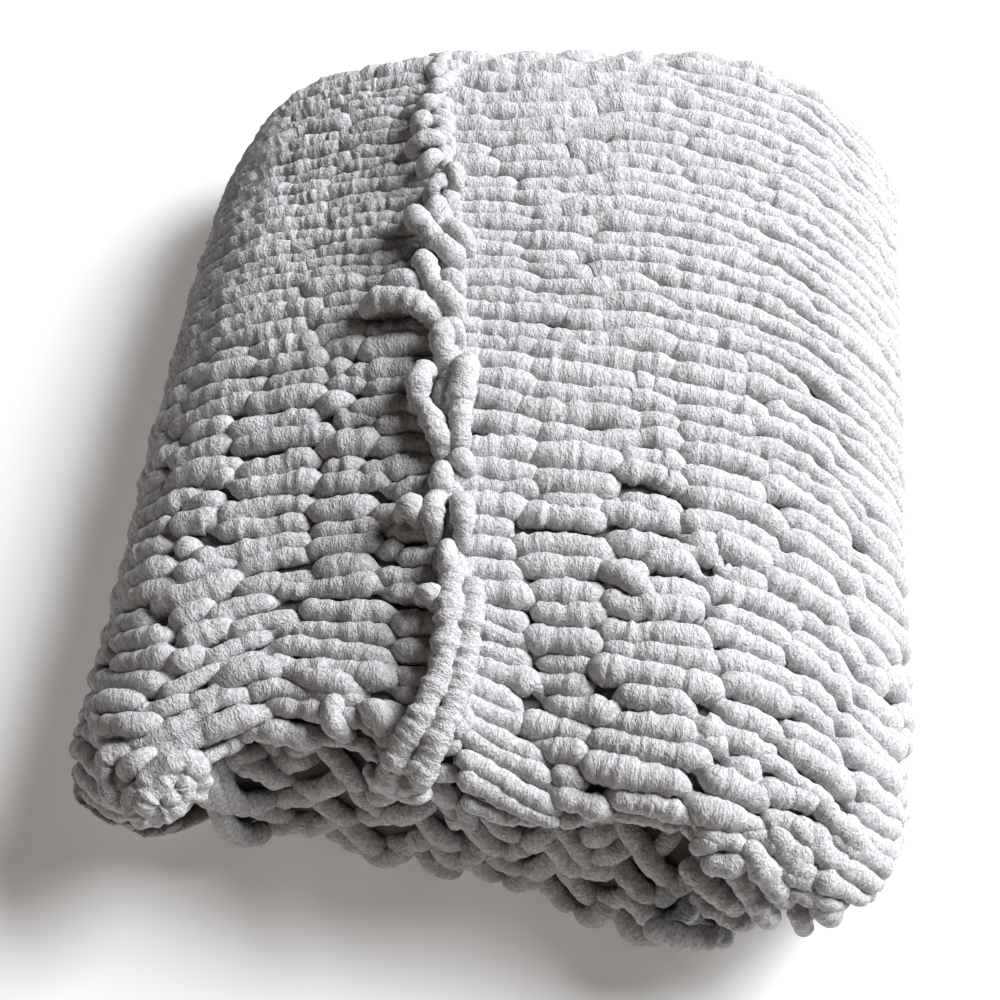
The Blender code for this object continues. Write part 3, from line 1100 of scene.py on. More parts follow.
SEAM_LOOPS = (
    Loop(1, 26, 8, 35, 0, 24, 7),
    Loop(8, 47, 18, 55, 0, 24, 7.5),
    Loop(12, 66, 22, 73, 0, 24, 7.5),
    Loop(2, 91, 26, 94, 0, 25, 8),
    Loop(5, 111, 16, 120, 0, 25, 8),
    Loop(-8, 124, -10, 145, 0, 25, 8),
    Loop(-1, 138, 11, 149, 0, 25, 7.5),
    Loop(4, 160, 12, 173, 0, 25, 8),
    Loop(24, 169, 4, 201, -4, 28, 10),
    Loop(-2, 187, -17, 204, 2, 26, 9),
    Loop(10, 198, -8, 216, -2, 27, 10),
    Loop(20, 212, 7, 247, -1, 28, 9.5),
    Loop(12, 245, -10, 273, 1, 27, 9.5),
    Loop(-2, 236, -8, 247, 0, 25, 9),
    Loop(0, 276, 2, 312, -3, 27, 9),
    Loop(-4, 276, -8, 291, 0, 25, 8),
    Loop(63, 252, 9, 272, 5, 30, 10),
    Loop(49, 236, 20, 244, 5, 25, 9),
    Loop(15, 316, 22, 347, -3, 27, 9),
    Loop(-14, 311, -8, 352, 1, 27, 9.5),
    Loop(-8, 349, -6, 386, 2, 27, 9.5),
    Loop(22, 345, 5, 390, 1, 27, 9),
    Loop(6, 406, 6, 421, 0, 26, 8.5),
    Loop(-4, 395, -13, 403, 0, 25, 8.5),
    Loop(33, 436, 24, 441, 0, 28, 10),
    Loop(10, 426, 12, 457, -2, 26, 8.5),
    Loop(-8, 430, -7, 463, 1, 27, 9),
    Loop(2, 468, 2, 492, -2, 27, 9),
    Loop(20, 505, 12, 511, 0, 26, 9),
)

STRAY_LOOPS = (
    Loop(195, 585, 200, 619, -6, 22, 9),
    Loop(181, 594, 194, 599, 0, 22, 9),
    Loop(197, 550, 214, 583, -8, 22, 9),
    Loop(214, 583, 184, 570, 3, 22, 9),
    Loop(74, 584, 70, 606, -6, 16, 8.5),
    Loop(58, 588, 46, 600, 4, 16, 8.5),
    Loop(156, 594, 114, 600, 0, 12, 9.5),
    Loop(122, 612, 84, 616, 0, 12, 9.5),
    Loop(148, 561, 108, 566, 0, 12, 9.5),
    Loop(100, 570, 62, 575, 0, 12, 9.5),
    Loop(1180, 472, 1140, 493, 0, 14, 9),
)


@dataclass(frozen=True)
class LoopSet:
    """Loops of yarn on the folds: each sinks at both ends and bows in between."""

    fold: Fold
    shape: YarnShape
    name: str
    loops: tuple[Loop, ...]
    seed: int
    sink: float = 0.010
    step: float = 0.0016
    least_samples: int = 6
    middle: float = 1.04            # factor on the radius in the middle of a loop
    taper: float = 0.14             # what the factor loses towards the ends

    def path(self, loop: Loop) -> tuple[np.ndarray, ...]:
        """Work out the middle line of a loop.

        The way is straight from end to end, plus bow 4t(1 - t) to the side, and the
        lift falls by sink |2t - 1|^3 towards both ends.

        Args:
            loop: where the loop goes.

        Returns:
            Station, run, lift and radius along it.
        """
        start = np.array([loop.across, loop.run]) * MM
        chord = np.array([loop.across_end, loop.run_end]) * MM - start
        length = float(np.hypot(*chord))
        side = np.array([-chord[1], chord[0]]) / max(length, TINY)
        t = np.linspace(0.0, 1.0, max(int(length / self.step), self.least_samples))
        way = start[:, None] + chord[:, None] * t + side[:, None] * loop.bow * MM * arch(t)
        end = np.abs(2 * t - 1) ** 3
        lift = loop.lift * MM - self.sink * end
        radius = loop.radius * MM * (self.middle - self.taper * end)
        return way[0], way[1], lift, radius

    def build(self) -> bpy.types.Object:
        """Mesh all loops as one piece.

        Returns:
            The piece.
        """
        mesher = Mesher(self.seed)
        for loop in self.loops:
            station, run, lift, radius = self.path(loop)
            centre, normal = self.fold.lay(Layer.OUTER, station, run, lift)
            self.shape.add(mesher, centre, normal, radius, float(mesher.rng.normal()))
        return mesher.build(self.name)


@dataclass(frozen=True)
class Knot:
    """One place that a strand passes, in mm: across the cloth, run and lift."""

    across: float
    run: float
    lift: float


TAIL_LEFT = (
    Knot(1, 490, 22), Knot(3, 523, 27), Knot(6, 548, 27), Knot(12, 574, 27),
    Knot(23, 594, 27), Knot(35, 608, 27), Knot(44, 626, 26), Knot(46, 644, 25),
)
TAIL_RIGHT = (
    Knot(-14, 497, 20), Knot(-11, 529, 25), Knot(-7, 555, 25), Knot(0, 584, 26),
    Knot(10, 600, 26), Knot(21, 616, 26), Knot(28, 633, 25),
)


@dataclass(frozen=True)
class Tail:
    """The long end of the selvedge, two yarns side by side, with a tuft at its tip."""

    fold: Fold
    shape: YarnShape
    radius: float = 0.0102
    samples: int = 110
    soften: int = 17                # samples over which the line is smoothed
    uneven: float = 0.05
    uneven_turns: float = 41.0      # how far the unevenness turns along a strand, in radians
    curls: int = 18
    curl_radius: float = 0.0056
    curl_taper: tuple[float, float] = (1.1, 0.3)
    curl_length: float = 0.026
    curl_share: tuple[float, float] = (0.6, 1.1)
    curl_samples: int = 12
    curl_turn: float = 2.4
    curl_lift: float = 0.030
    curl_stray: float = 0.003
    curl_sink: float = 0.006
    tip_across: tuple[float, float] = (30.0, 50.0)      # where the curls start, in mm
    tip_run: float = 630.0
    tip_spread: tuple[float, float] = (-10.0, 20.0)
    seed: int = SEED + 40

    def strand(self, mesher: Mesher, knots: tuple[Knot, ...]) -> None:
        """Gather one strand: straight lines through its knots, smoothed by a bell.

        Args:
            mesher: where it is gathered.
            knots: the places it passes.
        """
        places = np.array([(k.across, k.run, k.lift) for k in knots]) * MM
        share = np.linspace(0.0, 1.0, self.samples)
        line = np.stack([np.interp(share, np.linspace(0.0, 1.0, len(places)), c) for c in places.T])
        bell = np.hanning(self.soften) / np.hanning(self.soften).sum()
        padded = np.pad(line, ((0, 0), (self.soften // 2, self.soften // 2)), mode="edge")
        line = np.stack([np.convolve(row, bell, mode="valid") for row in padded])
        centre, normal = self.fold.lay(Layer.OUTER, line[0], line[1], line[2])
        wave = self.uneven * np.sin(share * self.uneven_turns + mesher.rng.uniform(0.0, 6.0))
        self.shape.add(mesher, centre, normal, self.radius * (1.0 + wave))

    def tuft(self, mesher: Mesher) -> None:
        """Gather the tuft: short thin curls that turn this way and that at the tip.

        Args:
            mesher: where it is gathered.
        """
        rng = mesher.rng
        t = np.linspace(0.0, 1.0, self.curl_samples)
        for _ in range(self.curls):
            across = rng.uniform(*self.tip_across) * MM
            run = (self.tip_run + rng.uniform(*self.tip_spread)) * MM
            turn = rng.uniform(0.0, 2 * np.pi) + rng.uniform(-self.curl_turn, self.curl_turn) * t
            step = self.curl_length * rng.uniform(*self.curl_share) / 2 / self.curl_samples
            station = across + step * np.cumsum(np.cos(turn))
            along = run + step * np.cumsum(np.sin(turn))
            top = self.curl_lift + rng.uniform(-self.curl_stray, self.curl_stray)
            lift = top - self.curl_sink * (2 * t - 1) ** 2
            centre, normal = self.fold.lay(Layer.OUTER, station, along, lift)
            radius = self.curl_radius * (self.curl_taper[0] - self.curl_taper[1] * t)
            self.shape.add(mesher, centre, normal, radius)

    def build(self) -> bpy.types.Object:
        """Mesh the tail.

        Returns:
            The piece.
        """
        mesher = Mesher(self.seed)
        self.strand(mesher, TAIL_LEFT)
        self.strand(mesher, TAIL_RIGHT)
        self.tuft(mesher)
        return mesher.build("tail")


@dataclass(frozen=True)
class Coil:
    """The selvedge yarn coiled on itself at the front left corner, fuzzy in its middle."""

    fold: Fold
    shape: YarnShape
    across: float = 0.172
    run: float = 0.622
    turns: float = 2.1
    outer: float = 0.021
    inner: float = 0.004
    radius: float = 0.0088
    uneven: float = 0.05
    uneven_turns: float = 2.3       # waves of the radius for each turn
    lift: float = 0.0225
    lift_wave: float = 0.002
    lift_turns: float = 1.7
    rise: float = 0.003             # how much higher the middle lies
    start: float = 2.0              # angle of the outer end, in radians
    samples: int = 150
    seed: int = SEED + 50

    def build(self) -> bpy.types.Object:
        """Mesh the coil: a spiral whose distance falls evenly as it turns.

        Returns:
            The piece.
        """
        mesher = Mesher(self.seed)
        t = np.linspace(0.0, 1.0, self.samples)
        turn = self.start + 2 * np.pi * self.turns * t
        away = self.outer + (self.inner - self.outer) * t
        station = self.across + away * np.cos(turn)
        run = self.run + away * np.sin(turn)
        lift = self.lift + self.lift_wave * np.sin(turn * self.lift_turns) + self.rise * t
        centre, normal = self.fold.lay(Layer.OUTER, station, run, lift)
        radius = self.radius * (1.0 + self.uneven * np.sin(turn * self.uneven_turns))
        self.shape.add(mesher, centre, normal, radius)
        return mesher.build("corner_coil")


@dataclass(frozen=True)
class Selvedges:
    """The two selvedges under the seam loops: one wavy cord along each edge."""

    fold: Fold
    shape: YarnShape
    inset: float = 0.002
    span: tuple[float, float] = (-0.055, 0.600)
    step: float = 0.0018
    lift: float = 0.0140
    lift_wave: tuple[float, float] = (0.0016, 0.0052)       # size and length
    side_wave: tuple[float, float] = (0.0036, 0.0044)
    fine_wave: tuple[float, float] = (0.0012, 0.0021)
    radius: float = 0.0074
    radius_wave: tuple[float, float] = (0.08, 1.2)          # share, and start in radians
    starts: tuple[float, float] = (0.0, 1.9)
    seed: int = SEED + 60

    def build(self) -> bpy.types.Object:
        """Mesh both cords, from under the half fold to the front edge.

        Returns:
            The piece.
        """
        mesher = Mesher(self.seed)
        run = np.arange(*self.span, self.step)
        size, length = self.side_wave
        fine, fine_length = self.fine_wave
        high, high_length = self.lift_wave
        share, ahead = self.radius_wave
        edges = (self.inset, self.fold.ends()[-1] - self.inset)
        for station, start in zip(edges, self.starts):
            across = station + size * np.sin(run / length + start) + fine * np.sin(run / fine_length)
            lift = self.lift + high * np.sin(run / high_length + 2.0 * start)
            centre, normal = self.fold.lay(Layer.OUTER, across, run, lift)
            radius = self.radius * (1.0 + share * np.sin(run / length + start + ahead))
            self.shape.add(mesher, centre, normal, radius)
        return mesher.build("selvedges")


@dataclass(frozen=True)
class Apron:
    """The knit face of the inner layer, which hangs at the front: short, linked legs.

    Each stitch is a V of two legs. A leg is a short stretch of yarn that stands out in
    its middle and goes in under its neighbours at both ends.
    """

    fold: Fold
    shape: YarnShape
    column: float = 0.058           # width of one V, two legs
    pitch: float = 0.0180
    rows: int = 9
    drop: float = 0.027             # how far a leg falls to the point of the V
    side_rows: int = 2              # rows that show round the sides
    first_run: float = 0.008        # from the lower edge to the first row
    stray: float = 0.0030
    bow: float = 0.004
    overlap: float = 0.12           # how far a leg runs on under its neighbours, as a share
    falls: tuple[float, float] = (0.65, 1.25)
    free_hang: float = 0.06         # hang above which the legs fall in full
    held_up: float = 0.010          # how much higher they lie where the layer doesn't hang
    radius: float = 0.0086
    thick: tuple[float, float] = (0.90, 1.10)
    middle: float = 1.05            # factor on the radius in the middle of a leg
    taper: float = 0.16
    lift: float = 0.0095
    lift_stray: float = 0.0016
    deep_row: int = 3               # past this row the legs lie deeper
    deep: float = 0.004
    sink: float = 0.0110
    most_sink: float = 1.3
    most_taper: float = 1.2
    step: float = 0.0018
    stretch: float = 1.3            # a leg's length over its width
    inset: float = 0.004
    side_gap: tuple[float, float] = (0.01, 0.03)
    side_reach: float = 0.02
    kept_row: int = 5               # from this row on, some legs are out of sight
    kept: float = 0.8
    seed: int = SEED + 2

    def leg(self, mesher: Mesher, station: float, row: int, slope: float) -> None:
        """Gather one leg: lift falls by sink |2t - 1|^3 towards both ends, t from 0 to 1.

        Args:
            mesher: where it is gathered.
            station: where it starts along the gate fold.
            row: its row, from the lower edge.
            slope: 1 where it falls to the right, -1 where it falls to the left.
        """
        rng = mesher.rng
        half = self.column / 2
        samples = int((1.0 + 2 * self.overlap) * half * self.stretch / self.step)
        t = np.linspace(-self.overlap, 1.0 + self.overlap, samples)
        hang = self.fold.front(np.array([station + half]))[3]
        free = min(float(hang[0]) / self.free_hang, 1.0)
        fall = slope * self.drop * rng.uniform(*self.falls) * free
        bow = rng.uniform(-self.bow, self.bow) * arch(t)
        across = station + rng.normal(0.0, self.stray) + half * t
        start = row * self.pitch + self.first_run + self.held_up * (1.0 - free)
        run = start + rng.normal(0.0, self.stray) - fall * (t - 0.5) + bow
        end = np.clip(np.abs(2 * t - 1), 0.0, self.most_sink) ** 3
        lift = self.lift + rng.normal(0.0, self.lift_stray) - self.sink * end
        lift = lift - self.deep * (row > self.deep_row)
        across = np.clip(across, self.inset, self.fold.ends()[-1] - self.inset)
        centre, normal = self.fold.lay(Layer.INNER, across, run, lift)
        radius = self.radius * rng.uniform(*self.thick)
        radius = radius * (self.middle - self.taper * np.minimum(end, self.most_taper))
        self.shape.add(mesher, centre, normal, radius, float(rng.normal()))

    def build(self) -> bpy.types.Object:
        """Mesh the legs, row by row, in full under the flaps and a few round the sides.

        Returns:
            The piece.
        """
        mesher = Mesher(self.seed)
        ends = self.fold.ends()
        near, far = self.side_gap
        left = ends[1] - near
        right = ends[4] + self.side_reach
        spans = (
            (self.inset, left, self.rows),
            (left, ends[2] - far, self.side_rows),
            (ends[3] + far, right, self.side_rows),
            (right, ends[5] - self.inset, self.rows),
        )
        for low, high, rows in spans:
            for row in range(rows):
                shift = self.column / 4 * (row % 2)
                places = np.arange(low - shift, high - near, self.column / 2)
                for number, station in enumerate(places):
                    if row < self.kept_row or mesher.rng.uniform() < self.kept:
                        self.leg(mesher, float(station), row, 1.0 if number % 2 else -1.0)
        return mesher.build("front_knit_face")


@dataclass(frozen=True)
class RowEnd:
    """One row's end at the front right corner, from place to place in the world, in mm."""

    x: float
    y: float
    z: float
    x_end: float
    y_end: float
    z_end: float
    radius: float


ROW_ENDS = (
    RowEnd(149, -348, 140, 172, -372, 112, 9),
    RowEnd(168, -339, 142, 205, -382, 98, 9),
    RowEnd(181, -332, 142, 216, -357, 118, 8.5),
    RowEnd(204, -321, 140, 243, -351, 105, 9),
    RowEnd(183, -367, 95, 188, -383, 80, 8),
    RowEnd(139, -351, 122, 161, -381, 98, 9),
    RowEnd(109, -348, 108, 140, -369, 90, 8.5),
    RowEnd(224, -349, 105, 234, -365, 92, 8),
    RowEnd(84, -376, 62, 132, -384, 62, 8.5),
    RowEnd(117, -361, 80, 147, -377, 76, 8),
    RowEnd(114, -341, 136, 130, -332, 138, 8),
    RowEnd(132, -332, 138, 145, -343, 136, 8),
    RowEnd(143, -351, 132, 122, -352, 130, 8),
)


@dataclass(frozen=True)
class RowEndSet:
    """The row ends at the front right corner: blunt fingers of yarn and a small knot."""

    shape: YarnShape
    ends: tuple[RowEnd, ...] = ROW_ENDS
    bow: float = 0.0040
    out: tuple[float, float, float] = (0.0, -0.7, 0.7)
    belly: float = 0.10
    step: float = 0.0017
    least_samples: int = 6
    seed: int = SEED + 70

    def build(self) -> bpy.types.Object:
        """Mesh the fingers: straight, bowed forward and up by bow 4t(1 - t).

        Returns:
            The piece.
        """
        mesher = Mesher(self.seed)
        out = np.array(self.out)
        for end in self.ends:
            low = np.array([end.x, end.y, end.z]) * MM
            high = np.array([end.x_end, end.y_end, end.z_end]) * MM
            samples = max(int(np.linalg.norm(high - low) / self.step), self.least_samples)
            t = np.linspace(0.0, 1.0, samples)[:, None]
            centre = low + (high - low) * t + out * self.bow * arch(t)
            radius = end.radius * MM * (1.0 + self.belly * np.sin(np.pi * t[:, 0]))
            self.shape.add(mesher, centre, np.broadcast_to(out, centre.shape), radius)
        return mesher.build("row_ends")


@dataclass(frozen=True)
class BaseCloth:
    """The body of the cloth under the yarns: a sheet on the solid's own folds.

    Its purl face lies just under the yarns of the outer layer, and its knit face just
    under those of the inner layer.
    """

    fold: Fold
    near: float = 0.0035            # from the layer's middle to the face under the yarns
    far: float = 0.015              # and to the other face
    flat: tuple[float, float] = (1.27, 1.52)
    inset: float = 0.004            # from the selvedges to the sheet's edges
    lower_inset: float = 0.012      # from the inner layer's lower edge
    floor_clear: float = 0.002
    across: int = 120
    along: int = 26                 # places along each straight part of the section
    round: int = 9                  # and round the half fold

    def face(self, station: np.ndarray, outside: bool) -> np.ndarray:
        """Work out one face of the sheet: the U section at each station.

        Args:
            station: places along the gate fold.
            outside: whether it is the face on the outside of the U.

        Returns:
            Points, stations by places along the section by 3.
        """
        fold = self.fold
        first, last = (self.near, self.far) if outside else (-self.far, -self.near)
        length = fold.outer_length(station)[:, None]
        _, _, turn, hang = fold.front(station)
        total = (fold.back_y - fold.bend_y + fold.inner_radius * turn + hang)[:, None]
        grid = station[:, None]
        way = np.linspace(0.0, 1.0, self.along)
        run = length * way[::-1]
        share = np.linspace(0.0, 1.0, self.round)[1:-1]
        behind = -np.pi * fold.step / 2 * share + 0 * length
        inside = total + (self.lower_inset - total) * way
        return np.concatenate([
            fold.outer(grid + 0 * run, run, first + 0 * run),
            fold.outer(grid + 0 * behind, behind, first + (last - first) * share + 0 * behind),
            fold.inner(grid + 0 * inside, inside, -last + 0 * inside),
        ], axis=1)

    def build(self) -> bpy.types.Object:
        """Mesh two faces a cloth's thickness apart, joined along all four edges.

        Returns:
            The piece.
        """
        last = self.fold.ends()[-1] - self.inset
        station = np.linspace(self.inset, last, self.across)
        faces = np.stack([self.face(station, True), self.face(station, False)])
        faces[..., 2] = np.maximum(faces[..., 2], self.floor_clear)
        rows, columns = faces.shape[1:3]
        index = np.arange(faces.size // 3).reshape(2, rows, columns)
        upper, lower = index
        quads = [
            np.stack([upper[:-1, :-1], upper[:-1, 1:], upper[1:, 1:], upper[1:, :-1]], axis=-1),
            np.stack([lower[:-1, :-1], lower[1:, :-1], lower[1:, 1:], lower[:-1, 1:]], axis=-1),
            np.stack([upper[:-1, 0], upper[1:, 0], lower[1:, 0], lower[:-1, 0]], axis=-1),
            np.stack([upper[:-1, -1], lower[:-1, -1], lower[1:, -1], upper[1:, -1]], axis=-1),
            np.stack([upper[0, :-1], lower[0, :-1], lower[0, 1:], upper[0, 1:]], axis=-1),
            np.stack([upper[-1, :-1], upper[-1, 1:], lower[-1, 1:], lower[-1, :-1]], axis=-1),
        ]
        quads = np.concatenate([q.reshape(-1, 4) for q in quads])
        mesh = bpy.data.meshes.new("base_cloth")
        mesh.from_pydata(faces.reshape(-1, 3), [], quads.tolist())
        mesh.shade_smooth()
        piece = bpy.data.objects.new("base_cloth", mesh)
        bpy.context.scene.collection.objects.link(piece)
        return piece


# ---------------------------------------------------------------- finishes


def add_node(tree: bpy.types.NodeTree, kind: str, settings: dict | None = None,
             links: dict | None = None) -> bpy.types.Node:
    """Add a node.

    Args:
        tree: where the node goes.
        kind: its type, such as "ShaderNodeMath".
        settings: property names or input numbers and names, with their values.
        links: input numbers or names, with the socket that feeds each.

    Returns:
        The node.
    """
    node = tree.nodes.new(kind)
    for key, value in (settings or {}).items():
        if isinstance(key, str) and hasattr(node, key):
            setattr(node, key, value)
        else:
            node.inputs[key].default_value = value
    for key, socket in (links or {}).items():
        tree.links.new(socket, node.inputs[key])
    return node


def add_range(tree: bpy.types.NodeTree, value: bpy.types.NodeSocket,
              span: tuple[float, float], kind: str = "LINEAR") -> bpy.types.NodeSocket:
    """Add a node that carries a span of values onto 0 to 1.

    Args:
        tree: where the node goes.
        value: the socket that feeds it.
        span: the value that gives 0 and the one that gives 1.
        kind: the node's way between the two.

    Returns:
        The socket that gives the result.
    """
    settings = {"interpolation_type": kind, "From Min": span[0], "From Max": span[1],
                "To Min": 0.0, "To Max": 1.0}
    return add_node(tree, "ShaderNodeMapRange", settings, {"Value": value}).outputs["Result"]


@dataclass(frozen=True)
class Noise:
    """The character of a noise: its octaves, how much each adds, and how it is warped."""

    detail: float
    roughness: float
    distortion: float = 0.0

    def settings(self, scale: float) -> dict:
        """The noise node's inputs for a scale."""
        return {"Scale": scale, "Detail": self.detail, "Roughness": self.roughness,
                "Distortion": self.distortion}


@dataclass(frozen=True)
class Chenille:
    """Jumbo polyester chenille: a cut pile wound round a core.

    The pile stands out all round, matt, with a faint bloom where it is seen edge on.
    It crinkles into short uneven ridges across the yarn, about 2 mm apart. Its colour
    holds painted shade: darker in the grooves and darker still down the yarn's flanks.
    """

    name: str = "chenille_yarn"
    light: str = "#D2D2D4"
    # painted shade: the colour in the grooves between the pile's ridges, and the dark end of each
    # yarn's own tone
    dark: str = "#A19F9E"
    # painted shade: the pile's colour down the yarn's flanks, where neighbouring rows would shade it
    flank_shade: str = "#7F7C7A"
    ridge: float = 2.1 * MM
    ridge_length: float = 4.2 * MM
    ridge_noise: Noise = Noise(detail=1.6, roughness=0.5, distortion=0.7)
    ridge_range: tuple[float, float] = (0.26, 0.70)     # noise in a groove and on a crest
    tuft: float = 1.9 * MM
    tuft_noise: Noise = Noise(detail=3.0, roughness=0.6)
    tuft_share: float = 1.7         # weight of the tufts beside the ridges
    relief: float = 0.60 * MM
    own_share: float = 0.10         # weight of each yarn's own tone
    tone_range: tuple[float, float] = (0.50, 1.90)      # height where dark ends, light starts
    ragged: float = 0.45            # how far the height frays the outline of the painted flank shade
    flank_shade_range: tuple[float, float] = (0.10, 0.95)
    sheen: float = 0.05
    sheen_roughness: float = 0.6

    def crinkle(self, tree: bpy.types.NodeTree) -> bpy.types.NodeSocket:
        """Add the pile's height: uneven ridges, long across the yarn, plus finer tufts.

        Args:
            tree: the material's nodes.

        Returns:
            The socket that gives the height.
        """
        uv = add_node(tree, "ShaderNodeUVMap", {"uv_map": "yarn_run"})
        where = add_node(tree, "ShaderNodeTexCoord")
        scale = (1 / self.ridge, 1 / self.ridge_length, 1.0)
        ridged = add_node(tree, "ShaderNodeMapping", {"Scale": scale}, {"Vector": uv.outputs["UV"]})
        ridges = add_node(tree, "ShaderNodeTexNoise", self.ridge_noise.settings(1.0),
                          {"Vector": ridged.outputs["Vector"]})
        tuft = add_node(tree, "ShaderNodeTexNoise", self.tuft_noise.settings(1 / self.tuft),
                        {"Vector": where.outputs["Object"]})
        ridge = add_range(tree, ridges.outputs["Fac"], self.ridge_range, "SMOOTHSTEP")
        height = add_node(tree, "ShaderNodeMath", {"operation": "MULTIPLY_ADD", 1: self.tuft_share},
                          {0: tuft.outputs["Fac"], 2: ridge})
        return height.outputs[0]

    def shade(self, tree: bpy.types.NodeTree, height: bpy.types.NodeSocket) -> bpy.types.NodeSocket:
        """Add the pile's colour: light crests, grooves and flanks darkened by painted shade.

        Args:
            tree: the material's nodes.
            height: the socket that gives the pile's height.

        Returns:
            The socket that gives the colour.
        """
        own = add_node(tree, "ShaderNodeAttribute", {"attribute_name": "tone"})
        toned = add_node(tree, "ShaderNodeMath", {"operation": "MULTIPLY_ADD", 1: self.own_share},
                         {0: own.outputs["Fac"], 2: height})
        # painted shade: low places of the pile take the dark colour and crests the light one, each
        # yarn's own tone shifting this a little
        tone = add_range(tree, toned.outputs[0], self.tone_range)
        pile = add_node(tree, "ShaderNodeMixRGB",
                        {"blend_type": "MIX", 1: linear(self.dark), 2: linear(self.light)}, {0: tone})
        # painted shade down the flanks: where crest is low, the colour goes over to the flank shade
        # colour
        crest = add_node(tree, "ShaderNodeAttribute", {"attribute_name": "crest"})
        ragged = add_node(tree, "ShaderNodeMath", {"operation": "MULTIPLY_ADD", 1: self.ragged},
                          {0: height, 2: crest.outputs["Fac"]})
        clear_of_flank_shade = add_range(tree, ragged.outputs[0], self.flank_shade_range, "SMOOTHSTEP")
        shade = add_node(tree, "ShaderNodeMixRGB", {"blend_type": "MIX", 1: linear(self.flank_shade)},
                         {0: clear_of_flank_shade, 2: pile.outputs["Color"]})
        return shade.outputs["Color"]

    def make(self) -> bpy.types.Material:
        """Build the node material.

        Returns:
            The material.
        """
        material = bpy.data.materials.new(self.name)
        material.use_nodes = True
        tree = material.node_tree
        shader = tree.nodes["Principled BSDF"]
        height = self.crinkle(tree)
        bump = add_node(tree, "ShaderNodeBump", {"Strength": 1.0, "Distance": self.relief},
                        {"Height": height})
        tree.links.new(self.shade(tree, height), shader.inputs["Base Color"])
        tree.links.new(bump.outputs["Normal"], shader.inputs["Normal"])
        shader.inputs["Roughness"].default_value = 1.0
        shader.inputs["Specular IOR Level"].default_value = 0.0
        shader.inputs["Sheen Weight"].default_value = self.sheen
        shader.inputs["Sheen Roughness"].default_value = self.sheen_roughness
        return material


@dataclass(frozen=True)
class InnerPile:
    """The cloth's own body between the yarns: the same pile, packed, with the shade between the yarns
    painted into its colour.
    """

    name: str = "chenille_ground_in_shade"
    # painted shade: far darker than the yarn's light grey, so the gaps between the yarns read as dark
    colour: str = "#63605D"
    tuft: float = 1.0 / 420.0       # 2.4 mm: 420 of them to a metre
    tuft_noise: Noise = Noise(detail=3.0, roughness=0.5)
    relief: float = 1.5 * MM
    roughness: float = 0.95

    def make(self) -> bpy.types.Material:
        """Build the node material.

        Returns:
            The material.
        """
        material = bpy.data.materials.new(self.name)
        material.use_nodes = True
        tree = material.node_tree
        shader = tree.nodes["Principled BSDF"]
        where = add_node(tree, "ShaderNodeTexCoord")
        pile = add_node(tree, "ShaderNodeTexNoise", self.tuft_noise.settings(1 / self.tuft),
                        {"Vector": where.outputs["Object"]})
        bump = add_node(tree, "ShaderNodeBump", {"Strength": 1.0, "Distance": self.relief},
                        {"Height": pile.outputs["Fac"]})
        tree.links.new(bump.outputs["Normal"], shader.inputs["Normal"])
        shader.inputs["Base Color"].default_value = linear(self.colour)
        shader.inputs["Roughness"].default_value = self.roughness
        return material


@dataclass(frozen=True)
class PaleFloor:
    """The floor: matt, nearly white, and glowing a little so that shadows stay soft."""

    name: str = "pale_acrylic"
    colour: str = "#F2F2F2"
    glow: str = "#FFFCF8"
    glow_strength: float = 0.18
    roughness: float = 0.9

    def make(self) -> bpy.types.Material:
        """Build the material.

        Returns:
            The material.
        """
        material = bpy.data.materials.new(self.name)
        material.use_nodes = True
        shader = material.node_tree.nodes["Principled BSDF"]
        shader.inputs["Base Color"].default_value = linear(self.colour)
        shader.inputs["Emission Color"].default_value = linear(self.glow)
        shader.inputs["Emission Strength"].default_value = self.glow_strength
        shader.inputs["Roughness"].default_value = self.roughness
        return material


@dataclass(frozen=True)
class Room:
    """The room: a dim warm light all round, and a plain pale wall past the floor.

    The wall's own colour and strength count only for what the camera sees.
    """

    name: str = "room"
    light: str = "#FFF0E0"
    light_strength: float = 0.035
    wall: str = "#F4F4F5"
    wall_strength: float = 0.60

    def make(self) -> bpy.types.World:
        """Build the world.

        Returns:
            The world.
        """
        world = bpy.data.worlds.new(self.name)
        world.use_nodes = True
        tree = world.node_tree
        back = tree.nodes["Background"]
        seen = add_node(tree, "ShaderNodeLightPath").outputs["Is Camera Ray"]
        wall = add_node(tree, "ShaderNodeMixRGB", {1: linear(self.light), 2: linear(self.wall)},
                        {0: seen})
        strength = add_node(tree, "ShaderNodeMapRange",
                            {"To Min": self.light_strength, "To Max": self.wall_strength},
                            {"Value": seen})
        tree.links.new(wall.outputs["Color"], back.inputs["Color"])
        tree.links.new(strength.outputs["Result"], back.inputs["Strength"])
        return world


# ---------------------------------------------------------------- the studio


@dataclass(frozen=True)
class SoftBox:
    """A square lamp: where it stands, its side in metres, its power in watts."""

    name: str
    place: tuple[float, float, float]
    size: float
    power: float
    colour: str

    def add(self, aim: tuple[float, float, float]) -> bpy.types.Object:
        """Put the lamp in the scene, turned to a point.

        Args:
            aim: the point.

        Returns:
            The lamp.
        """
        data = bpy.data.lights.new(self.name, "AREA")
        data.shape = "SQUARE"
        data.size = self.size
        data.energy = self.power
        data.color = linear(self.colour)[:3]
        lamp = bpy.data.objects.new(self.name, data)
        way = Vector(aim) - Vector(self.place)
        turned = way.to_track_quat("-Z", "Y").to_matrix().to_4x4()
        lamp.matrix_world = Matrix.Translation(Vector(self.place)) @ turned
        bpy.context.scene.collection.objects.link(lamp)
        return lamp


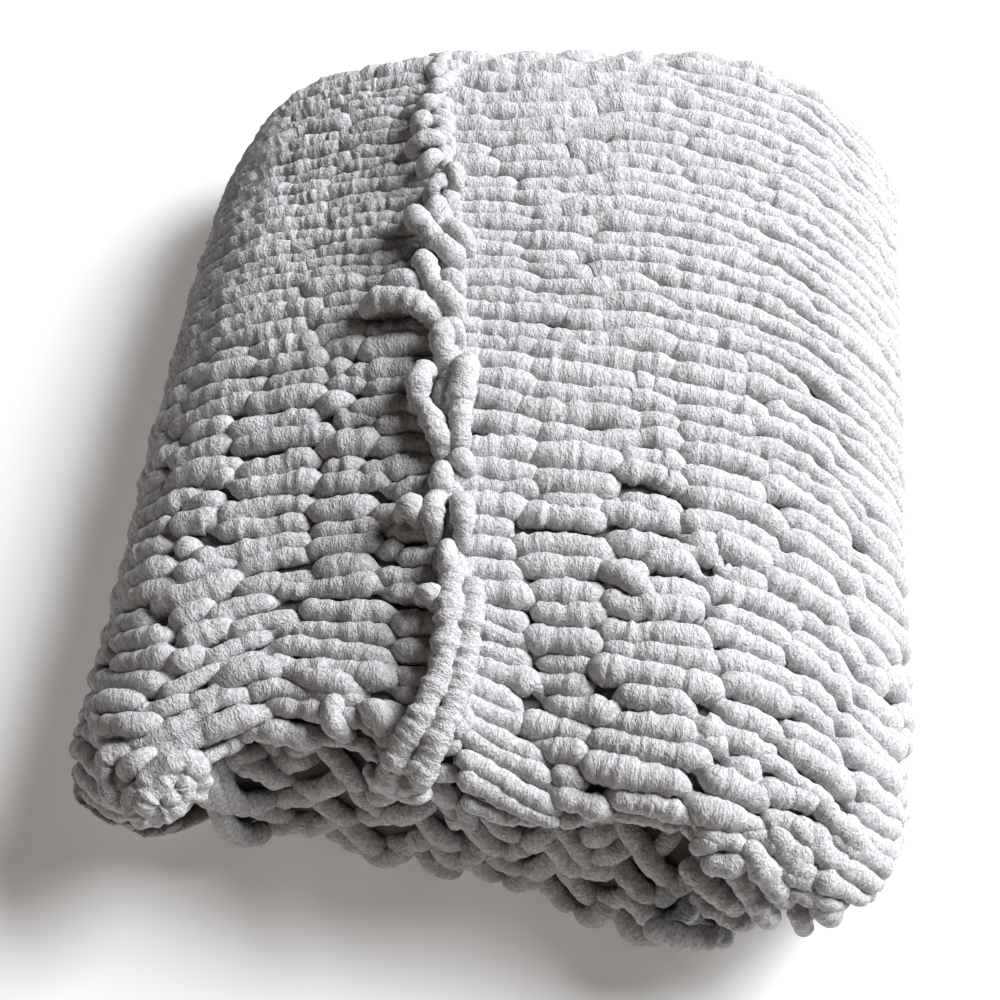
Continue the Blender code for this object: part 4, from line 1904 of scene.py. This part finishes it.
@dataclass(frozen=True)
class Studio:
    """A pale floor, two soft boxes, and the camera, looking down at the open front.

    The key light is large and cool, at the back right. A weak warm one stands at the
    front left.
    """

    target: tuple[float, float, float] = (-0.01354, -0.02023, 0.06301)
    elevation: float = 61.1868
    azimuth: float = -0.8843
    distance: float = 1.66213
    roll: float = -1.4648
    focal_pixels: float = 2080.63
    picture: float = 1000.0
    sensor: float = 36.0            # width, in mm
    near: float = 0.05
    floor_half: float = 9.0
    aim: tuple[float, float, float] = (0.0, 0.0, 0.08)
    lamps: tuple[SoftBox, ...] = (
        SoftBox("key", (3.50, 1.35, 3.20), 2.7, 520.0, "#FBFBFF"),
        SoftBox("room_lamp", (-1.15, -2.10, 0.85), 0.9, 4.6, "#FFE9D6"),
    )

    def camera(self) -> bpy.types.Object:
        """Add the camera at its distance, height angle and turn from the target.

        Returns:
            The camera.
        """
        data = bpy.data.cameras.new("camera")
        data.sensor_width = self.sensor
        data.lens = self.focal_pixels / self.picture * data.sensor_width
        data.clip_start = self.near
        up, turn = np.radians(self.elevation), np.radians(self.azimuth)
        back = Vector((np.cos(up) * np.sin(turn), -np.cos(up) * np.cos(turn), np.sin(up)))
        target = Vector(self.target)
        camera = bpy.data.objects.new("camera", data)
        turned = (-back).to_track_quat("-Z", "Y").to_matrix().to_4x4()
        turned = turned @ Matrix.Rotation(np.radians(self.roll), 4, "Z")
        camera.matrix_world = Matrix.Translation(target + back * self.distance) @ turned
        bpy.context.scene.collection.objects.link(camera)
        bpy.context.scene.camera = camera
        return camera

    def floor(self) -> bpy.types.Object:
        """Add a large plain floor.

        Returns:
            The floor.
        """
        mesh = bpy.data.meshes.new("floor")
        side = np.array([-1.0, 1.0]) * self.floor_half
        x, y = np.meshgrid(side, side)
        corners = np.stack([x.ravel(), y.ravel(), 0 * x.ravel()], axis=-1)
        mesh.from_pydata(corners, [], [(0, 1, 3, 2)])
        floor = bpy.data.objects.new("floor", mesh)
        bpy.context.scene.collection.objects.link(floor)
        mesh.materials.append(PaleFloor().make())
        floor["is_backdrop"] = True
        return floor

    def light(self) -> None:
        """Add the soft boxes and the room."""
        for lamp in self.lamps:
            lamp.add(self.aim)
        bpy.context.scene.world = Room().make()
        bpy.context.scene.view_settings.view_transform = "Standard"


# ---------------------------------------------------------------- assembly


def dress(piece: bpy.types.Object, material: bpy.types.Material) -> bpy.types.Object:
    """Give a piece its material and its body, and report it.

    Args:
        piece: the piece.
        material: its finish.

    Returns:
        The piece.
    """
    piece.data.materials.append(material)
    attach(piece, BODY)
    LOG.info("%s: %d faces of %s", piece.name, len(piece.data.polygons), material.name)
    return piece


def write_sizes() -> None:
    boxes = {"cad": CAD_BOX, "visual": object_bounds()}
    plain = {name: np.array(box, dtype=float).tolist() for name, box in boxes.items()}


def main() -> None:
    """Build the pieces in order, dress them and set up the studio."""
    logging.basicConfig(level=logging.INFO, format="%(name)s: %(message)s")
    fold = Fold()
    shape = YarnShape()
    worn = YarnShape(around=14, knobble=0.0013, lump=0.085, lump_length=0.008)
    fuzzy = YarnShape(around=14, knobble=0.0015, lump=0.10, lump_length=0.0065)
    yarn = Chenille().make()
    shaded_ground_pile = InnerPile().make()
    pieces = Knitting(fold, shape).build()
    pieces += [maker.build() for maker in (
        Apron(fold, shape),
        Selvedges(fold, shape),
        LoopSet(fold, worn, "seam_loops", SEAM_LOOPS, SEED + 10),
        LoopSet(fold, shape, "stray_loops", STRAY_LOOPS, SEED + 11),
        Tail(fold, fuzzy),
        Coil(fold, fuzzy),
        RowEndSet(worn),
    )]
    knitted = [dress(piece, yarn) for piece in pieces]
    # the base cloth takes the painted shade of the pile between the yarns
    base = dress(BaseCloth(fold).build(), shaded_ground_pile)
    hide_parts(NODE)
    studio = Studio()
    studio.camera()
    studio.floor()
    studio.light()
    write_sizes()


if __name__ == "__main__":
    main()
